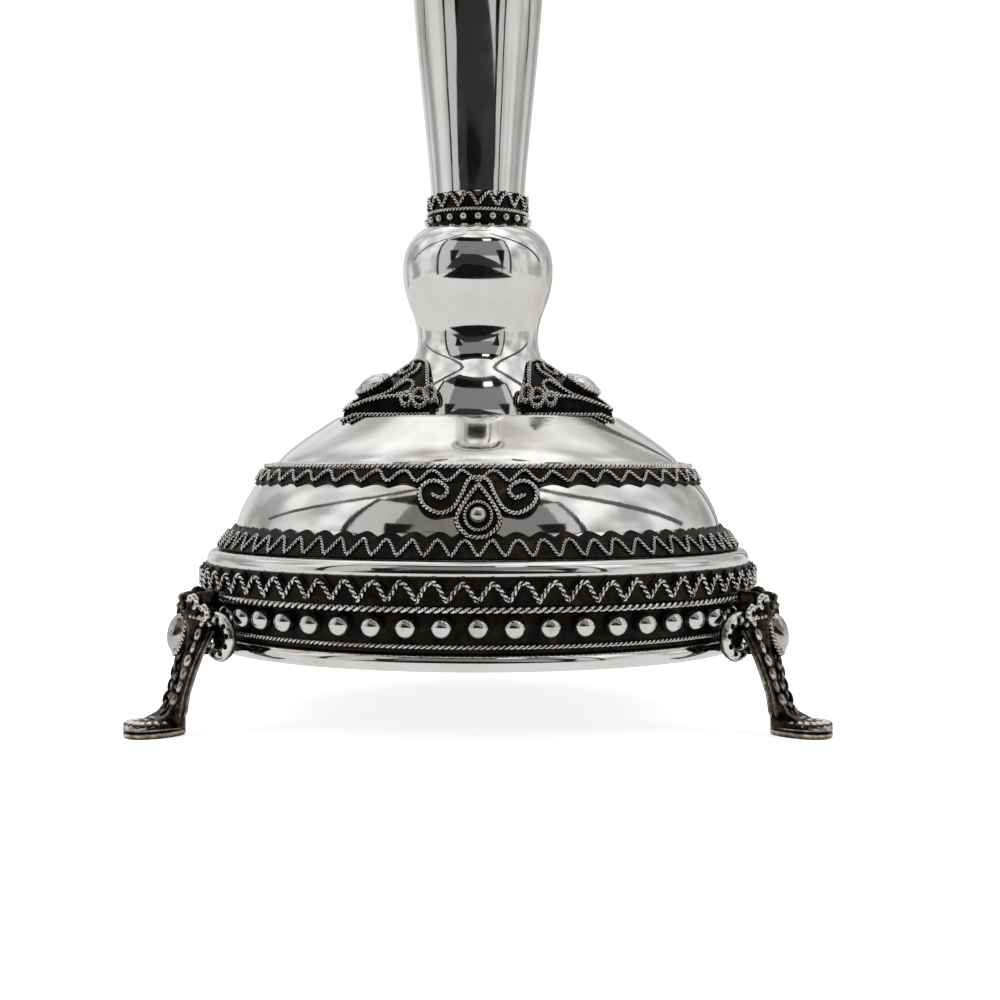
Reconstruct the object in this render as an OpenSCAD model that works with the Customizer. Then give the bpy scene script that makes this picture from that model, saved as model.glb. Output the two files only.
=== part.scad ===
// Filigree silver candlestick: a stepped domed base on three cast scroll feet, a knopped neck,
// a tapered stem and a vase-shaped candle cup with a lift-out drip pan.
// The axis of the column is Z and the feet stand on z = 0. The front faces -Y.

/* [Base] */
// Outer radius of the belt wire, the widest ring of the base
belt_r = 65; // [64.5:0.1:65.5]
// Height of the rim's underside above the floor
rim_z = 16; // [15:0.25:16]
// Outer radius of the half-round rim
rim_r = 62; // [61.5:0.25:63]
// Thickness of the spun sheet
sheet_t = 1; // [0.8:0.1:1.1]
// Number of beads round the drum
bead_count = 54; // [42:3:60]
// Diameter of each bead on the drum
bead_d = 4.35; // [3:0.05:4.6]
// Diameter of the twisted belt wire
belt_wire_d = 1.4; // [1:0.1:1.4]
// Diameter of the wire that is bent into waves
wave_wire_d = 0.7; // [0.5:0.05:0.8]

/* [Filigree bands] */
// Number of arches in the lower gallery
lower_waves = 66; // [54:3:72]
// Number of waves in the middle gallery
middle_waves = 63; // [51:3:66]
// Number of waves in the upper gallery
upper_waves = 51; // [42:3:57]
// Number of waves round each stem collar
collar_waves = 16; // [12:1:18]
// Number of waves round the candle cup
cup_waves = 24; // [18:3:27]

/* [Candle socket] */
// Inner radius of the candle socket
socket_r = 11.4; // [10.5:0.1:11.6]
// Depth of the candle socket
socket_depth = 22.5; // [18:0.5:22.5]

/* [Tie rod] */
// Radius of the threaded rod that holds the column together
rod_r = 2.5; // [2:0.5:2.5]

/* [Hidden] */
$fn = 48;

silver = [0.86, 0.86, 0.85];
dark_silver = [0.16, 0.15, 0.14];
wire_silver = [0.7, 0.69, 0.67];
steel = [0.5, 0.5, 0.52];

// Room left between soldered pieces, and round the lift-out liner
seam = 0.03;
lift_gap = 0.25;

// Heights of the stacked pieces
rim_h = 3.9;
drum_z = rim_z + rim_h + seam;
belt_z = 28.8;
lower_gallery_z = 29.6;
lower_gallery_h = 4.8;
shoulder_z = 35.2;
middle_z = 38.4;
middle_top_z = 53.6;
upper_top_z = 68.4;
knop_top_z = 113;
collar_h = 7.4;
stem_top_z = 182;
spool_z = 189.5;
cup_z = 197;
cup_lip_z = 222.5;
pan_z = cup_lip_z + 0.1;

// Radii shared by neighbouring pieces
bead_wall_r = rim_r - 0.8;
drum_top_r = belt_r - 1.5;
shoulder_r = 63;
crown_r = 33.3;
neck_foot_r = 21.2;
rod_hole_r = rod_r + 0.2;
stem_foot_r = 10.5;
upper_collar_r = 7.6;
liner_r = socket_r + 0.7;
feet_angles = [-30, 90, 210];
teardrop_angles = [-90, 30, 150];
plaque_angles = [-30, 90, 210];

// ---- curves -------------------------------------------------------------------------------

function bezier(a, b, c, d, steps = 12) = [
  for (i = [0:steps])
    let (t = i / steps, u = 1 - t)
      u * u * u * a + 3 * u * u * t * b + 3 * u * t * t * c + t * t * t * d
];

function unit(v) = v / norm(v);
function left_of(v) = [-v[1], v[0]];

// The inner face of a sheet of thickness t whose outer face is path, listed from the bottom up.
// It never goes below the foot of the path, so that the piece stands flat on its neighbour.
function inner_face(path, t) = [
  for (i = [0:len(path) - 1])
    let (
      last = len(path) - 1,
      before = left_of(unit(path[max(i, 1)] - path[max(i, 1) - 1])),
      after = left_of(unit(path[min(i, last - 1) + 1] - path[min(i, last - 1)])),
      shift = (before + after) / (1 + before * after),
      p = path[i] + t * shift
    )
      [p[0], max(p[1], path[0][1])]
];

function reversed(list) = [for (i = [len(list) - 1:-1:0]) list[i]];

module spun_sheet(path, t = sheet_t) {
  rotate_extrude($fn = 96)
    polygon(concat(path, reversed(inner_face(path, t))));
}

module ring(r, z, d) {
  translate([0, 0, z])
    rotate_extrude($fn = 96)
      translate([r, 0])
        circle(d = d, $fn = 20);
}

module tube(r_out, r_in, z_low, z_high) {
  translate([0, 0, z_low])
    rotate_extrude($fn = 96)
      translate([r_in, 0])
        square([r_out - r_in, z_high - z_low]);
}

module at_angles(angles) {
  for (a = angles)
    rotate([0, 0, a])
      children();
}

function cylindrical(r, a, z) = [r * cos(a), r * sin(a), z];

// A wire of radius r along points, closed or with flat ends. The section has four corners.
module wire(points, r, closed = false) {
  n = len(points);
  corners = 4;
  rings = [
    for (i = [0:n - 1])
      let (
        before = closed ? points[(i + n - 1) % n] : points[max(i - 1, 0)],
        after = closed ? points[(i + 1) % n] : points[min(i + 1, n - 1)],
        along = unit(after - before),
        out = unit([points[i][0], points[i][1], 0]),
        side = unit(cross(along, out)),
        top = cross(side, along)
      )
        for (k = [0:corners - 1])
          let (turn = 360 * k / corners)
            points[i] + r * (cos(turn) * top + sin(turn) * side)
  ];
  last = closed ? n - 1 : n - 2;
  walls = [
    for (i = [0:last], k = [0:corners - 1])
      let (
        j = (i + 1) % n,
        m = (k + 1) % corners
      )
        [i * corners + k, j * corners + k, j * corners + m, i * corners + m]
  ];
  ends = closed ? [] : [
    [for (k = [0:corners - 1]) k],
    [for (k = [corners - 1:-1:0]) (n - 1) * corners + k]
  ];
  polyhedron(rings, concat(walls, ends));
}

// A wave of wire round the axis, between the low point [r, z] and the high point [r, z]
module wave_wire(low, high, count) {
  steps = 4;
  points = [
    for (i = [0:count * steps - 1])
      let (
        rise = (1 + cos(360 * i / steps)) / 2,
        p = low + rise * (high - low)
      )
        cylindrical(p[0], 360 * i / (count * steps) - 90, p[1])
  ];
  wire(points, wave_wire_d / 2, closed = true);
}

// A row of domed shot soldered to a wall of radius wall_r
module shot_row(wall_r, z, d, count) {
  sink = 0.32 * d;
  at_angles([for (i = [0:count - 1]) 360 * i / count - 90])
    difference() {
      translate([wall_r + seam + sink, 0, z])
        sphere(d = d, $fn = 20);
      translate([wall_r + seam - d, -d, z - d])
        cube([d, 2 * d, 2 * d]);
    }
}

// ---- outlines -----------------------------------------------------------------------------

middle_cone = [[60.2, middle_z + seam], [56.4, 43.4]];
middle_curve = bezier([56.4, 43.4], [55.6, 47.2], [53.8, 50.6], [51.3, middle_top_z]);
upper_cone = [[51.2, middle_top_z + seam], [48.2, 58.1], [46.6, 58.3]];
upper_curve = bezier([46.6, 58.3], [44.5, 61.2], [38.5, 65], [crown_r, upper_top_z]);
neck_foot = [neck_foot_r, upper_top_z + seam];
bell = bezier(neck_foot, [neck_foot_r, 71.5], [19.4, 76], [17, 79.4], 10);
flare = concat(bell, tail(bezier([17, 79.4], [15.6, 81.4], [14.1, 83.6], [14.1, 87], 8)));
knop_low = bezier([14.1, 87], [14.1, 93.5], [17.55, 95.5], [17.55, 103.3], 10);
knop_high = bezier([17.55, 103.3], [17.55, 108.5], [15.6, 111.2], [12.4, knop_top_z], 10);
stem_taper = bezier([10.9, 120.6], [11.6, 132], [13.9, 150], [15.15, 167], 10);
stem_shoulder = bezier([15.15, 167], [15.5, 173], [14.6, 179], [9.6, stem_top_z], 10);
cup_bowl = bezier([8.4, cup_z + seam], [13.5, 197.4], [16.8, 203], [16.9, 210.5], 12);
cup_lip = bezier([16.9, 210.5], [16.9, 216], [15.2, 218.5], [15.4, cup_lip_z], 8);

function tail(list) = [for (i = [1:len(list) - 1]) list[i]];
function radius_at(path, z) = lookup(z, [for (p = path) [p[1], p[0]]]);

// ---- base ---------------------------------------------------------------------------------

module base_rim() {
  color(silver)
    translate([0, 0, rim_z])
      rotate_extrude($fn = 96)
        union() {
          translate([rim_r - rim_h / 2, rim_h / 2])
            circle(d = rim_h, $fn = 32);
          translate([rim_r - 1.25 * rim_h / 2 - 1, 0])
            square([1 + 0.25 * rim_h / 2, rim_h]);
        }
}

module rim_wire() {
  wire_d = 0.95;
  color(wire_silver)
    ring(bead_wall_r + wire_d / 2 + seam, rim_z + 5.2, wire_d);
}

module base_drum() {
  wall = [[bead_wall_r, drum_z], [bead_wall_r, 27.6], [drum_top_r, 28.4], [drum_top_r, shoulder_z]];
  inside = [for (p = wall) p - [sheet_t, 0]];
  color(dark_silver)
    rotate_extrude($fn = 96)
      polygon(concat(wall, reversed(inside)));
}

module band_beads() {
  color(silver)
    shot_row(bead_wall_r, 25.2, bead_d, bead_count);
}

module belt_wire() {
  color(wire_silver)
    ring(belt_r - belt_wire_d / 2, belt_z, belt_wire_d);
}

module lower_gallery() {
  color(dark_silver)
    tube(drum_top_r + 0.55, drum_top_r + seam, lower_gallery_z, lower_gallery_z + lower_gallery_h);
}

module lower_wave_wire() {
  wave_r = drum_top_r + 0.58 + wave_wire_d / 2;
  color(wire_silver)
    wave_wire([wave_r, lower_gallery_z + 0.7], [wave_r, lower_gallery_z + 4.4], lower_waves);
}

module shoulder_moulding() {
  outline = concat(
    bezier([shoulder_r, shoulder_z + seam], [63.3, 36.8], [62.6, 38.3], [60.8, middle_z], 8),
    [[57.5, middle_z]]
  );
  color(silver)
    spun_sheet(outline);
}

module middle_dome() {
  color(silver)
    spun_sheet(concat(middle_cone, tail(middle_curve), [[47.8, middle_top_z]]));
}

// A strip of sheet that lies on the cone from low to high
module cone_strip(low, high, t) {
  out = -left_of(unit(high - low));
  color(dark_silver)
    rotate_extrude($fn = 96)
      polygon([low + seam * out, low + t * out, high + t * out, high + seam * out]);
}

module middle_gallery() {
  cone_strip([60.16, 38.5], [56.44, 43.34], 0.75);
}

module middle_wave_wire() {
  color(wire_silver)
    wave_wire([60.75, 39.6], [58.65, 42.35], middle_waves);
}

module upper_gallery() {
  cone_strip([51.12, 53.75], [49.42, 56.25], 0.75);
}

module upper_gallery_wire() {
  color(wire_silver)
    ring(49.5, 57.3, 1.2);
}

module upper_wave_wire() {
  color(wire_silver)
    wave_wire([52.05, 54.43], [50.77, 56.33], upper_waves);
}

module upper_dome() {
  color(silver)
    spun_sheet(concat(upper_cone, tail(upper_curve), [[rod_hole_r, upper_top_z]]));
}

// ---- teardrop ornaments on the middle dome ------------------------------------------------

teardrop_z = 46.9;

// The point of the middle dome at a sideways distance and height, standing off by gap
function on_dome(side, z, gap) =
  let (r = radius_at(middle_curve, z))
    cylindrical(r + gap, side / r * 180 / PI, z);

// A smooth curve through points
function through(points, steps = 3) = concat(
  [
    for (i = [0:len(points) - 2], k = [0:steps - 1])
      let (
        t = k / steps,
        a = points[i],
        b = points[i + 1],
        into = (b - points[max(i - 1, 0)]) / 2,
        leave = (points[min(i + 2, len(points) - 1)] - a) / 2
      )
        (1 + 2 * t) * (1 - t) * (1 - t) * a + t * (1 - t) * (1 - t) * into
        + t * t * (3 - 2 * t) * b - t * t * (1 - t) * leave
  ],
  [points[len(points) - 1]]
);

// Right halves of the ornament's wires as [sideways, above the bead], from the top down
scroll_wire = through([
  [0, 7.6], [1.9, 7], [3.3, 4.1], [5.2, 1.3], [8, 0.5], [11.1, 2.2], [11.7, 5.1], [9, 6.8],
  [6.2, 5.1], [7.3, 3.4], [9.4, 4]
]);
drop_wire = through([[0, 6], [2.3, 3.2], [4.2, 0], [3.9, -2], [2.2, -3.6], [0, -4.1]]);

function mirrored(points) = [for (p = points) [-p[0], p[1]]];

// Joins a right half to its mirror image, as one line or as a closed loop
function both_sides(points, loop) =
  concat(reversed(mirrored(points)), [for (i = [1:len(points) - (loop ? 2 : 1)]) points[i]]);

module teardrop_plate() {
  intersection() {
    rotate_extrude($fn = 96)
      polygon(concat(
        [for (p = middle_curve) p + [seam, seam]],
        reversed([for (p = middle_curve) p + [0.65, 0.2]])
      ));
    translate([40, 0, teardrop_z])
      rotate([90, 0, 90])
        linear_extrude(30)
          union() {
            polygon(both_sides([for (p = drop_wire) p * 1.12], true));
            for (side = [-1, 1])
              translate([side * 8.6, 3.7])
                circle(r = 3.9, $fn = 32);
            polygon([[-8.6, -0.1], [8.6, -0.1], [8.6, 6.4], [-8.6, 6.4]]);
          }
  }
}

module teardrop_plates() {
  color(dark_silver)
    at_angles(teardrop_angles)
      teardrop_plate();
}

module teardrop_wires() {
  wire_r = 0.45;
  stand_off = 1.15;
  color(wire_silver)
    at_angles(teardrop_angles) {
      wire([for (p = both_sides(drop_wire, true)) on_dome(p[0], teardrop_z + p[1], stand_off)],
        wire_r, closed = true);
      wire([for (p = both_sides(scroll_wire, false)) on_dome(p[0], teardrop_z + p[1], stand_off)],
        wire_r);
    }
}

module teardrop_beads() {
  bead_r = 1.7;
  color(silver)
    at_angles(teardrop_angles)
      translate([radius_at(middle_curve, teardrop_z) + 0.85 + bead_r, 0, teardrop_z])
        sphere(r = bead_r, $fn = 24);
}

// ---- neck ---------------------------------------------------------------------------------

module knop_neck() {
  color(silver)
    spun_sheet(concat(flare, tail(knop_low), tail(knop_high), [[rod_hole_r, knop_top_z]]));
}

plaque_corners = [[15.5, -4], [19.6, -11.8], [35, 0], [19.6, 11.8], [15.5, 4]];
plaque_top_z = 82;
plaque_slope = 0.634;
plaque_curve = 0.0415;
plaque_lean = atan(plaque_slope);
cabochon_x = 26.8;
cabochon_r = 3.6;
bezel_h = 1.5;

// The height of a plaque's face, which slopes down from the neck and falls away to both sides
function plaque_z(p) = plaque_top_z - plaque_slope * (p[0] - 15) - plaque_curve * p[1] * p[1];

function on_plaque(p, gap) = [p[0], p[1], plaque_z(p) + gap];

// Points along the closed outline of corners
function along(corners, steps) = [
  for (i = [0:len(corners) - 1], k = [0:steps - 1])
    corners[i] + (corners[(i + 1) % len(corners)] - corners[i]) * k / steps
];

// All that lies below a plaque's face
module under_plaque() {
  half_w = 14;
  face = [
    for (y = [-half_w:2:half_w])
      [plaque_curve * cos(plaque_lean) * y * y, y]
  ];
  translate([15, 0, plaque_top_z])
    rotate([0, 90 + plaque_lean, 0])
      translate([0, 0, -10])
        linear_extrude(45)
          polygon(concat(face, [[20, half_w], [20, -half_w]]));
}

// A plaque is a block between its curved face and the bell-shaped foot of the neck
module plaque_plate() {
  difference() {
    intersection() {
      translate([0, 0, upper_top_z - 3])
        linear_extrude(20)
          polygon(plaque_corners);
      under_plaque();
    }
    rotate_extrude($fn = 96)
      polygon(concat(
        [[0, 60], [46.6, 58.3]],
        [for (p = tail(upper_curve)) p + [seam, seam]],
        [for (p = flare) p + [seam, seam]],
        [[0, 87]]
      ));
  }
}

module plaque_plates() {
  color(dark_silver)
    at_angles(plaque_angles)
      plaque_plate();
}

module plaque_wires() {
  wire_r = 0.42;
  frame = [for (c = plaque_corners) [21 + (c[0] - 21) * 0.93, c[1] * 0.93]];
  color(wire_silver)
    at_angles(plaque_angles)
      wire([for (p = along(frame, 5)) on_plaque(p, 1.5 * wire_r)], wire_r, closed = true);
}

module plaque_seat() {
  at_angles(plaque_angles)
    translate([cabochon_x, 0, plaque_z([cabochon_x, 0])])
      rotate([0, plaque_lean, 0])
        children();
}

module plaque_bezels() {
  color(wire_silver)
    plaque_seat()
      translate([0, 0, seam])
        difference() {
          cylinder(r = cabochon_r + 0.7, h = bezel_h);
          translate([0, 0, -1])
            cylinder(r = cabochon_r + seam, h = bezel_h + 2);
        }
}

module plaque_cabochons() {
  rise = 1.9;
  ball_r = (cabochon_r * cabochon_r + rise * rise) / (2 * rise);
  color(silver)
    plaque_seat()
      translate([0, 0, seam])
        union() {
          cylinder(r = cabochon_r, h = bezel_h);
          translate([0, 0, bezel_h])
            intersection() {
              translate([0, 0, rise - ball_r])
                sphere(r = ball_r, $fn = 48);
              cylinder(r = cabochon_r + 1, h = rise + 1);
            }
        }
}

// ---- stem and its collars -----------------------------------------------------------------

module collar_tube(r, z) {
  color(dark_silver)
    tube(r + 0.75, r + seam, z + seam, z + collar_h);
}

module collar_bead_row(r, z) {
  color(silver)
    shot_row(r + 0.75, z + 1.6, 1.7, round(r * 2.1));
}

module collar_twist(r, z) {
  wire_d = 0.8;
  color(wire_silver)
    ring(r + 0.75 + seam + wire_d / 2, z + 3.35, wire_d);
}

module collar_waves_at(r, z) {
  wave_r = r + 0.8 + wave_wire_d / 2;
  color(wire_silver)
    wave_wire([wave_r, z + 4.4], [wave_r, z + 6.8], collar_waves);
}

module stem_collar() {
  collar_tube(stem_foot_r, knop_top_z);
}

module collar_beads() {
  collar_bead_row(stem_foot_r, knop_top_z);
}

module collar_wire() {
  collar_twist(stem_foot_r, knop_top_z);
}

module collar_wave_wire() {
  collar_waves_at(stem_foot_r, knop_top_z);
}

module stem() {
  foot = [[stem_foot_r, knop_top_z + seam], [stem_foot_r, 120.5]];
  color(silver)
    spun_sheet(concat(foot, stem_taper, tail(stem_shoulder), [[rod_hole_r, stem_top_z]]));
}

module upper_collar() {
  collar_tube(upper_collar_r, stem_top_z);
}

module upper_collar_beads() {
  collar_bead_row(upper_collar_r, stem_top_z);
}

module upper_collar_wire() {
  collar_twist(upper_collar_r, stem_top_z);
}

module upper_collar_waves() {
  collar_waves_at(upper_collar_r, stem_top_z);
}

// ---- candle cup ---------------------------------------------------------------------------

module cup_spool() {
  outline = concat(
    [[upper_collar_r, stem_top_z + seam], [upper_collar_r, spool_z]],
    bezier([8.6, spool_z + 0.5], [6, 191.2], [5.6, 194.4], [8.4, cup_z], 8)
  );
  color(silver)
    rotate_extrude($fn = 96)
      polygon(concat([[rod_hole_r, stem_top_z + seam]], outline, [[rod_hole_r, cup_z]]));
}

module candle_cup() {
  floor_t = 1.2;
  color(silver) {
    spun_sheet(concat(cup_bowl, tail(cup_lip)));
    tube(8.4, rod_hole_r, cup_z + seam, cup_z + floor_t);
  }
}

module cup_band() {
  color(dark_silver)
    tube(17.6, 16.95, 207.4, 213.8);
}

module cup_band_wires() {
  color(wire_silver)
    for (z = [207.9, 213.3])
      ring(17.63 + 0.4, z, 0.8);
}

module cup_wave_wire() {
  wave_r = 17.65 + wave_wire_d / 2;
  color(wire_silver)
    wave_wire([wave_r, 209.1], [wave_r, 212.1], cup_waves);
}

module drip_pan() {
  dish = concat(
    [[liner_r + seam, pan_z + 0.9]],
    [[15, pan_z + 0.9]],
    bezier([15, pan_z + 0.9], [18, pan_z + 0.9], [21, pan_z + 1.8], [23.4, pan_z + 4.2], 8)
  );
  under = [for (p = dish) p - [0, 0.9]];
  color(silver)
    rotate_extrude($fn = 96)
      polygon(concat(under, reversed(dish)));
}

module pan_rim_wire() {
  color(wire_silver)
    ring(23.4 + seam + 0.7, pan_z + 3.75, 1.4);
}

module candle_liner() {
  top_z = pan_z + 5;
  floor_t = 1;
  color(silver)
    rotate_extrude($fn = 96)
      polygon([
        [0, top_z - socket_depth - floor_t],
        [liner_r, top_z - socket_depth - floor_t],
        [liner_r, top_z - 1],
        [liner_r + 0.7, top_z - 0.7],
        [liner_r + 0.7, top_z],
        [socket_r, top_z],
        [socket_r, top_z - socket_depth],
        [0, top_z - socket_depth]
      ]);
}

// ---- tie rod ------------------------------------------------------------------------------

nut_h = 4;
washer_t = 0.8;
under_dome_z = upper_top_z - sheet_t;

module tie_rod() {
  color(steel)
    translate([0, 0, 60.5])
      cylinder(r = rod_r, h = 142);
}

module nut(z) {
  color(steel)
    translate([0, 0, z])
      difference() {
        cylinder(r = 2 * rod_r - 0.4, h = nut_h, $fn = 6);
        translate([0, 0, -1])
          cylinder(r = rod_r + seam, h = nut_h + 2);
      }
}

module rod_washer() {
  color(steel)
    tube(9, rod_hole_r, under_dome_z - washer_t - seam, under_dome_z - seam);
}

module rod_nut() {
  nut(under_dome_z - washer_t - 2 * seam - nut_h);
}

module top_nut() {
  nut(cup_z + 1.2 + seam);
}

// ---- cast feet ----------------------------------------------------------------------------

// A notched ear scroll beside the foot's crest. It follows the curve of the drum, is open towards
// the leg and is hooked at its lower end
module ear() {
  ear_r = 3.9;
  translate([68.3, 1.5, 20.9])
    rotate([0, 0, 20])
      translate([0, ear_r, 0]) {
        rotate([0, 90, 0])
          rotate([0, 0, -60])
            rotate_extrude(angle = 260, $fn = 40)
              translate([ear_r, 0])
                square([2.8, 2.4], center = true);
        for (turn = [35:35:175])
          translate([1.2, 4.6 * sin(turn), 4.6 * cos(turn)])
            sphere(r = 0.9, $fn = 16);
      }
}

module foot() {
  sole_h = 3.2;
  leg_w = 6.4;
  union() {
    linear_extrude(sole_h)
      union() {
        translate([80.8, 0])
          circle(r = 5, $fn = 32);
        polygon([[72.2, -3.2], [75, -3.8], [80.4, -4.95], [80.4, 4.95], [75, 3.8], [72.2, 3.2]]);
      }
    translate([0, 0, sole_h - 0.5])
      linear_extrude(1.4)
        union() {
          translate([80.4, 0])
            circle(r = 3.9, $fn = 32);
          polygon([[73, -2.6], [80, -3.85], [80, 3.85], [73, 2.6]]);
        }
    translate([0, leg_w / 2, 0])
      rotate([90, 0, 0])
        linear_extrude(leg_w)
          polygon([
            [73, 1], [73, 4.4], [72.2, 8.8], [70.8, 13], [69.4, 16.7], [67.4, 20.5], [65.1, 24],
            [65.1, 30], [70.4, 30.6], [73.2, 29.2], [73.8, 26], [73.5, 19], [74.2, 15.5],
            [75, 10.5], [76.1, 7.4], [77.8, 5], [80.6, 3.6]
          ]);
    for (side = [0, 1])
      mirror([0, side, 0])
        ear();
    for (petal = [[68.4, -3.6, 27.4], [72.4, 0, 28.2], [69.4, 0, 29.5], [68.4, 3.6, 27.4]])
      translate(petal)
        sphere(r = 1.9, $fn = 20);
    for (side = [-1, 1], step = [0:3])
      translate([73.8 + 0.35 * step, side * 2, 15.6 - 2.3 * step])
        sphere(r = 0.8, $fn = 16);
    translate([rim_r + 0.05, -2.5, rim_z + 0.9])
      cube([9, 5, 2]);
  }
}

module foot_at(angle) {
  color(wire_silver)
    rotate([0, 0, angle])
      foot();
}

module foot_left() {
  foot_at(feet_angles[2]);
}

module foot_right() {
  foot_at(feet_angles[0]);
}

module foot_back() {
  foot_at(feet_angles[1]);
}

// Each oval stone of silver leans outwards with the top of its leg
module on_leg() {
  at_angles(feet_angles)
    translate([72.5, 0, 21.5])
      rotate([0, -14, 0])
        children();
}

module foot_bezels() {
  count = 18;
  color(wire_silver)
    on_leg()
      for (i = [0:count - 1])
        translate([1.35, 3.1 * cos(360 * i / count), 5.1 * sin(360 * i / count)])
          sphere(r = 0.5, $fn = 16);
}

module foot_cabochons() {
  half_w = 2.4;
  half_h = 4.4;
  profile = [for (i = [0:12]) [half_w * sin(15 * i), -half_h * cos(15 * i)]];
  color(silver)
    on_leg()
      translate([1.2, 0, 0])
        difference() {
          rotate_extrude($fn = 32)
            polygon(profile);
          translate([-10, -10, -10])
            cube([10, 20, 20]);
        }
}

base_rim();
rim_wire();
base_drum();
band_beads();
belt_wire();
lower_gallery();
lower_wave_wire();
shoulder_moulding();
middle_dome();
middle_gallery();
middle_wave_wire();
teardrop_plates();
teardrop_wires();
teardrop_beads();
upper_gallery();
upper_gallery_wire();
upper_wave_wire();
upper_dome();
knop_neck();
plaque_plates();
plaque_wires();
plaque_bezels();
plaque_cabochons();
stem_collar();
collar_beads();
collar_wire();
collar_wave_wire();
stem();
upper_collar();
upper_collar_beads();
upper_collar_wire();
upper_collar_waves();
cup_spool();
candle_cup();
cup_band();
cup_band_wires();
cup_wave_wire();
drip_pan();
pan_rim_wire();
candle_liner();
tie_rod();
rod_washer();
rod_nut();
top_nut();
foot_left();
foot_right();
foot_back();
foot_bezels();
foot_cabochons();
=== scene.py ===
"""The looks of a filigree silver candlestick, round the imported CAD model. Sizes in this file are in
millimetres unless a name says otherwise, and MM turns them into Blender's metres."""

import math

import bmesh
import bpy
import numpy as np
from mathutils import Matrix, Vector


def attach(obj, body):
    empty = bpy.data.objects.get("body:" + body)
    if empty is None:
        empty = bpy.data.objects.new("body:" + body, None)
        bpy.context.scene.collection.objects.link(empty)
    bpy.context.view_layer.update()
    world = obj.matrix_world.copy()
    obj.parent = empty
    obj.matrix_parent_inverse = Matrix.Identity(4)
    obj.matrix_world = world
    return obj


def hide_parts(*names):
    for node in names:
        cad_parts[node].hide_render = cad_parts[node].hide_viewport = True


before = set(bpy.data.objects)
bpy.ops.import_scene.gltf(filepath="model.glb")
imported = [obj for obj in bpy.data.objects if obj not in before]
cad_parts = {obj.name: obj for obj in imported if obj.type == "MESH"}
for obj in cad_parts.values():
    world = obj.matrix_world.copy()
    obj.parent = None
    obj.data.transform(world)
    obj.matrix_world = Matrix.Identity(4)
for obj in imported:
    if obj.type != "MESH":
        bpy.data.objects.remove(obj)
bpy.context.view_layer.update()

MM = 0.001
TAU = 2 * math.pi
RNG = np.random.default_rng(7)

# ---- main sizes, as in the CAD model -------------------------------------------------------
RIM_Z, RIM_H, RIM_R = 16.0, 3.9, 62.0
BELT_R, BELT_Z, BELT_WIRE = 65.0, 28.8, 1.4
WALL_R = RIM_R - 0.8
DRUM_TOP_R = BELT_R - 1.5
LOWER_Z = 29.6
SHOULDER_R, SHOULDER_Z = 63.0, 35.2
MIDDLE_Z, MIDDLE_TOP_Z = 38.4, 53.6
UPPER_TOP_Z, CROWN_R, NECK_FOOT_R = 68.4, 33.3, 21.2
KNOP_TOP_Z, STEM_FOOT_R = 113.0, 10.5
STEM_TOP_Z, UPPER_COLLAR_R, SPOOL_Z = 182.0, 7.6, 189.5
CUP_Z, CUP_LIP_Z = 197.0, 222.5
PAN_Z = CUP_LIP_Z + 0.1
SHEET = 1.0
SEAM = 0.03
ROD_HOLE_R = 2.7
SOCKET_R = 11.4
LINER_R = SOCKET_R + 0.7
BEAD_COUNT, BEAD_D, BEAD_Z = 54, 4.35, 25.2
LOWER_WAVES, MIDDLE_WAVES, UPPER_WAVES, COLLAR_WAVES, CUP_WAVES = 66, 69, 51, 16, 24
TEARDROP_Z = 46.9
TEARDROP_ANGLES = (-90, 30, 150)
FEET = {"foot_right": -30, "foot_back": 90, "foot_left": 210}
PLAQUE_ANGLES = (-30, 90, 210)


# ---- curves --------------------------------------------------------------------------------
def bezier(a, b, c, d, steps=24):
    """Points of a cubic curve, as in the CAD model."""
    t = np.linspace(0, 1, steps + 1)[:, None]
    u = 1 - t
    a, b, c, d = (np.array(p, float) for p in (a, b, c, d))
    return u**3 * a + 3 * u * u * t * b + 3 * u * t * t * c + t**3 * d


def join(*runs):
    """One outline from several, without the repeated end points."""
    out = [np.array(runs[0], float)]
    for run in runs[1:]:
        run = np.array(run, float)
        out.append(run[1:] if np.allclose(run[0], out[-1][-1]) else run)
    return np.vstack(out)


MIDDLE_CONE = [[60.2, MIDDLE_Z + SEAM], [56.4, 43.4]]
MIDDLE_CURVE = bezier([56.4, 43.4], [55.6, 47.2], [53.8, 50.6], [51.3, MIDDLE_TOP_Z])
UPPER_CONE = [[51.2, MIDDLE_TOP_Z + SEAM], [48.2, 58.1], [46.6, 58.3]]
UPPER_CURVE = bezier([46.6, 58.3], [44.5, 61.2], [38.5, 65], [CROWN_R, UPPER_TOP_Z])
BELL = bezier([NECK_FOOT_R, UPPER_TOP_Z + SEAM], [NECK_FOOT_R, 71.5], [19.4, 76], [17, 79.4], 28)
FLARE = np.vstack([BELL, bezier([17, 79.4], [15.6, 81.4], [14.1, 83.6], [14.1, 87])[1:]])
KNOP_LOW = bezier([14.1, 87], [14.1, 93.5], [17.55, 95.5], [17.55, 103.3])
KNOP_HIGH = bezier([17.55, 103.3], [17.55, 108.5], [15.6, 111.2], [12.4, KNOP_TOP_Z])
STEM_TAPER = bezier([10.9, 120.6], [11.6, 132], [13.9, 150], [15.15, 167])
STEM_SHOULDER = bezier([15.15, 167], [15.5, 173], [14.6, 179], [9.6, STEM_TOP_Z])
CUP_BOWL = bezier([8.4, CUP_Z + SEAM], [13.5, 197.4], [16.8, 203], [16.9, 210.5])
CUP_LIP = bezier([16.9, 210.5], [16.9, 216], [15.2, 218.5], [15.4, CUP_LIP_Z])


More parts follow.
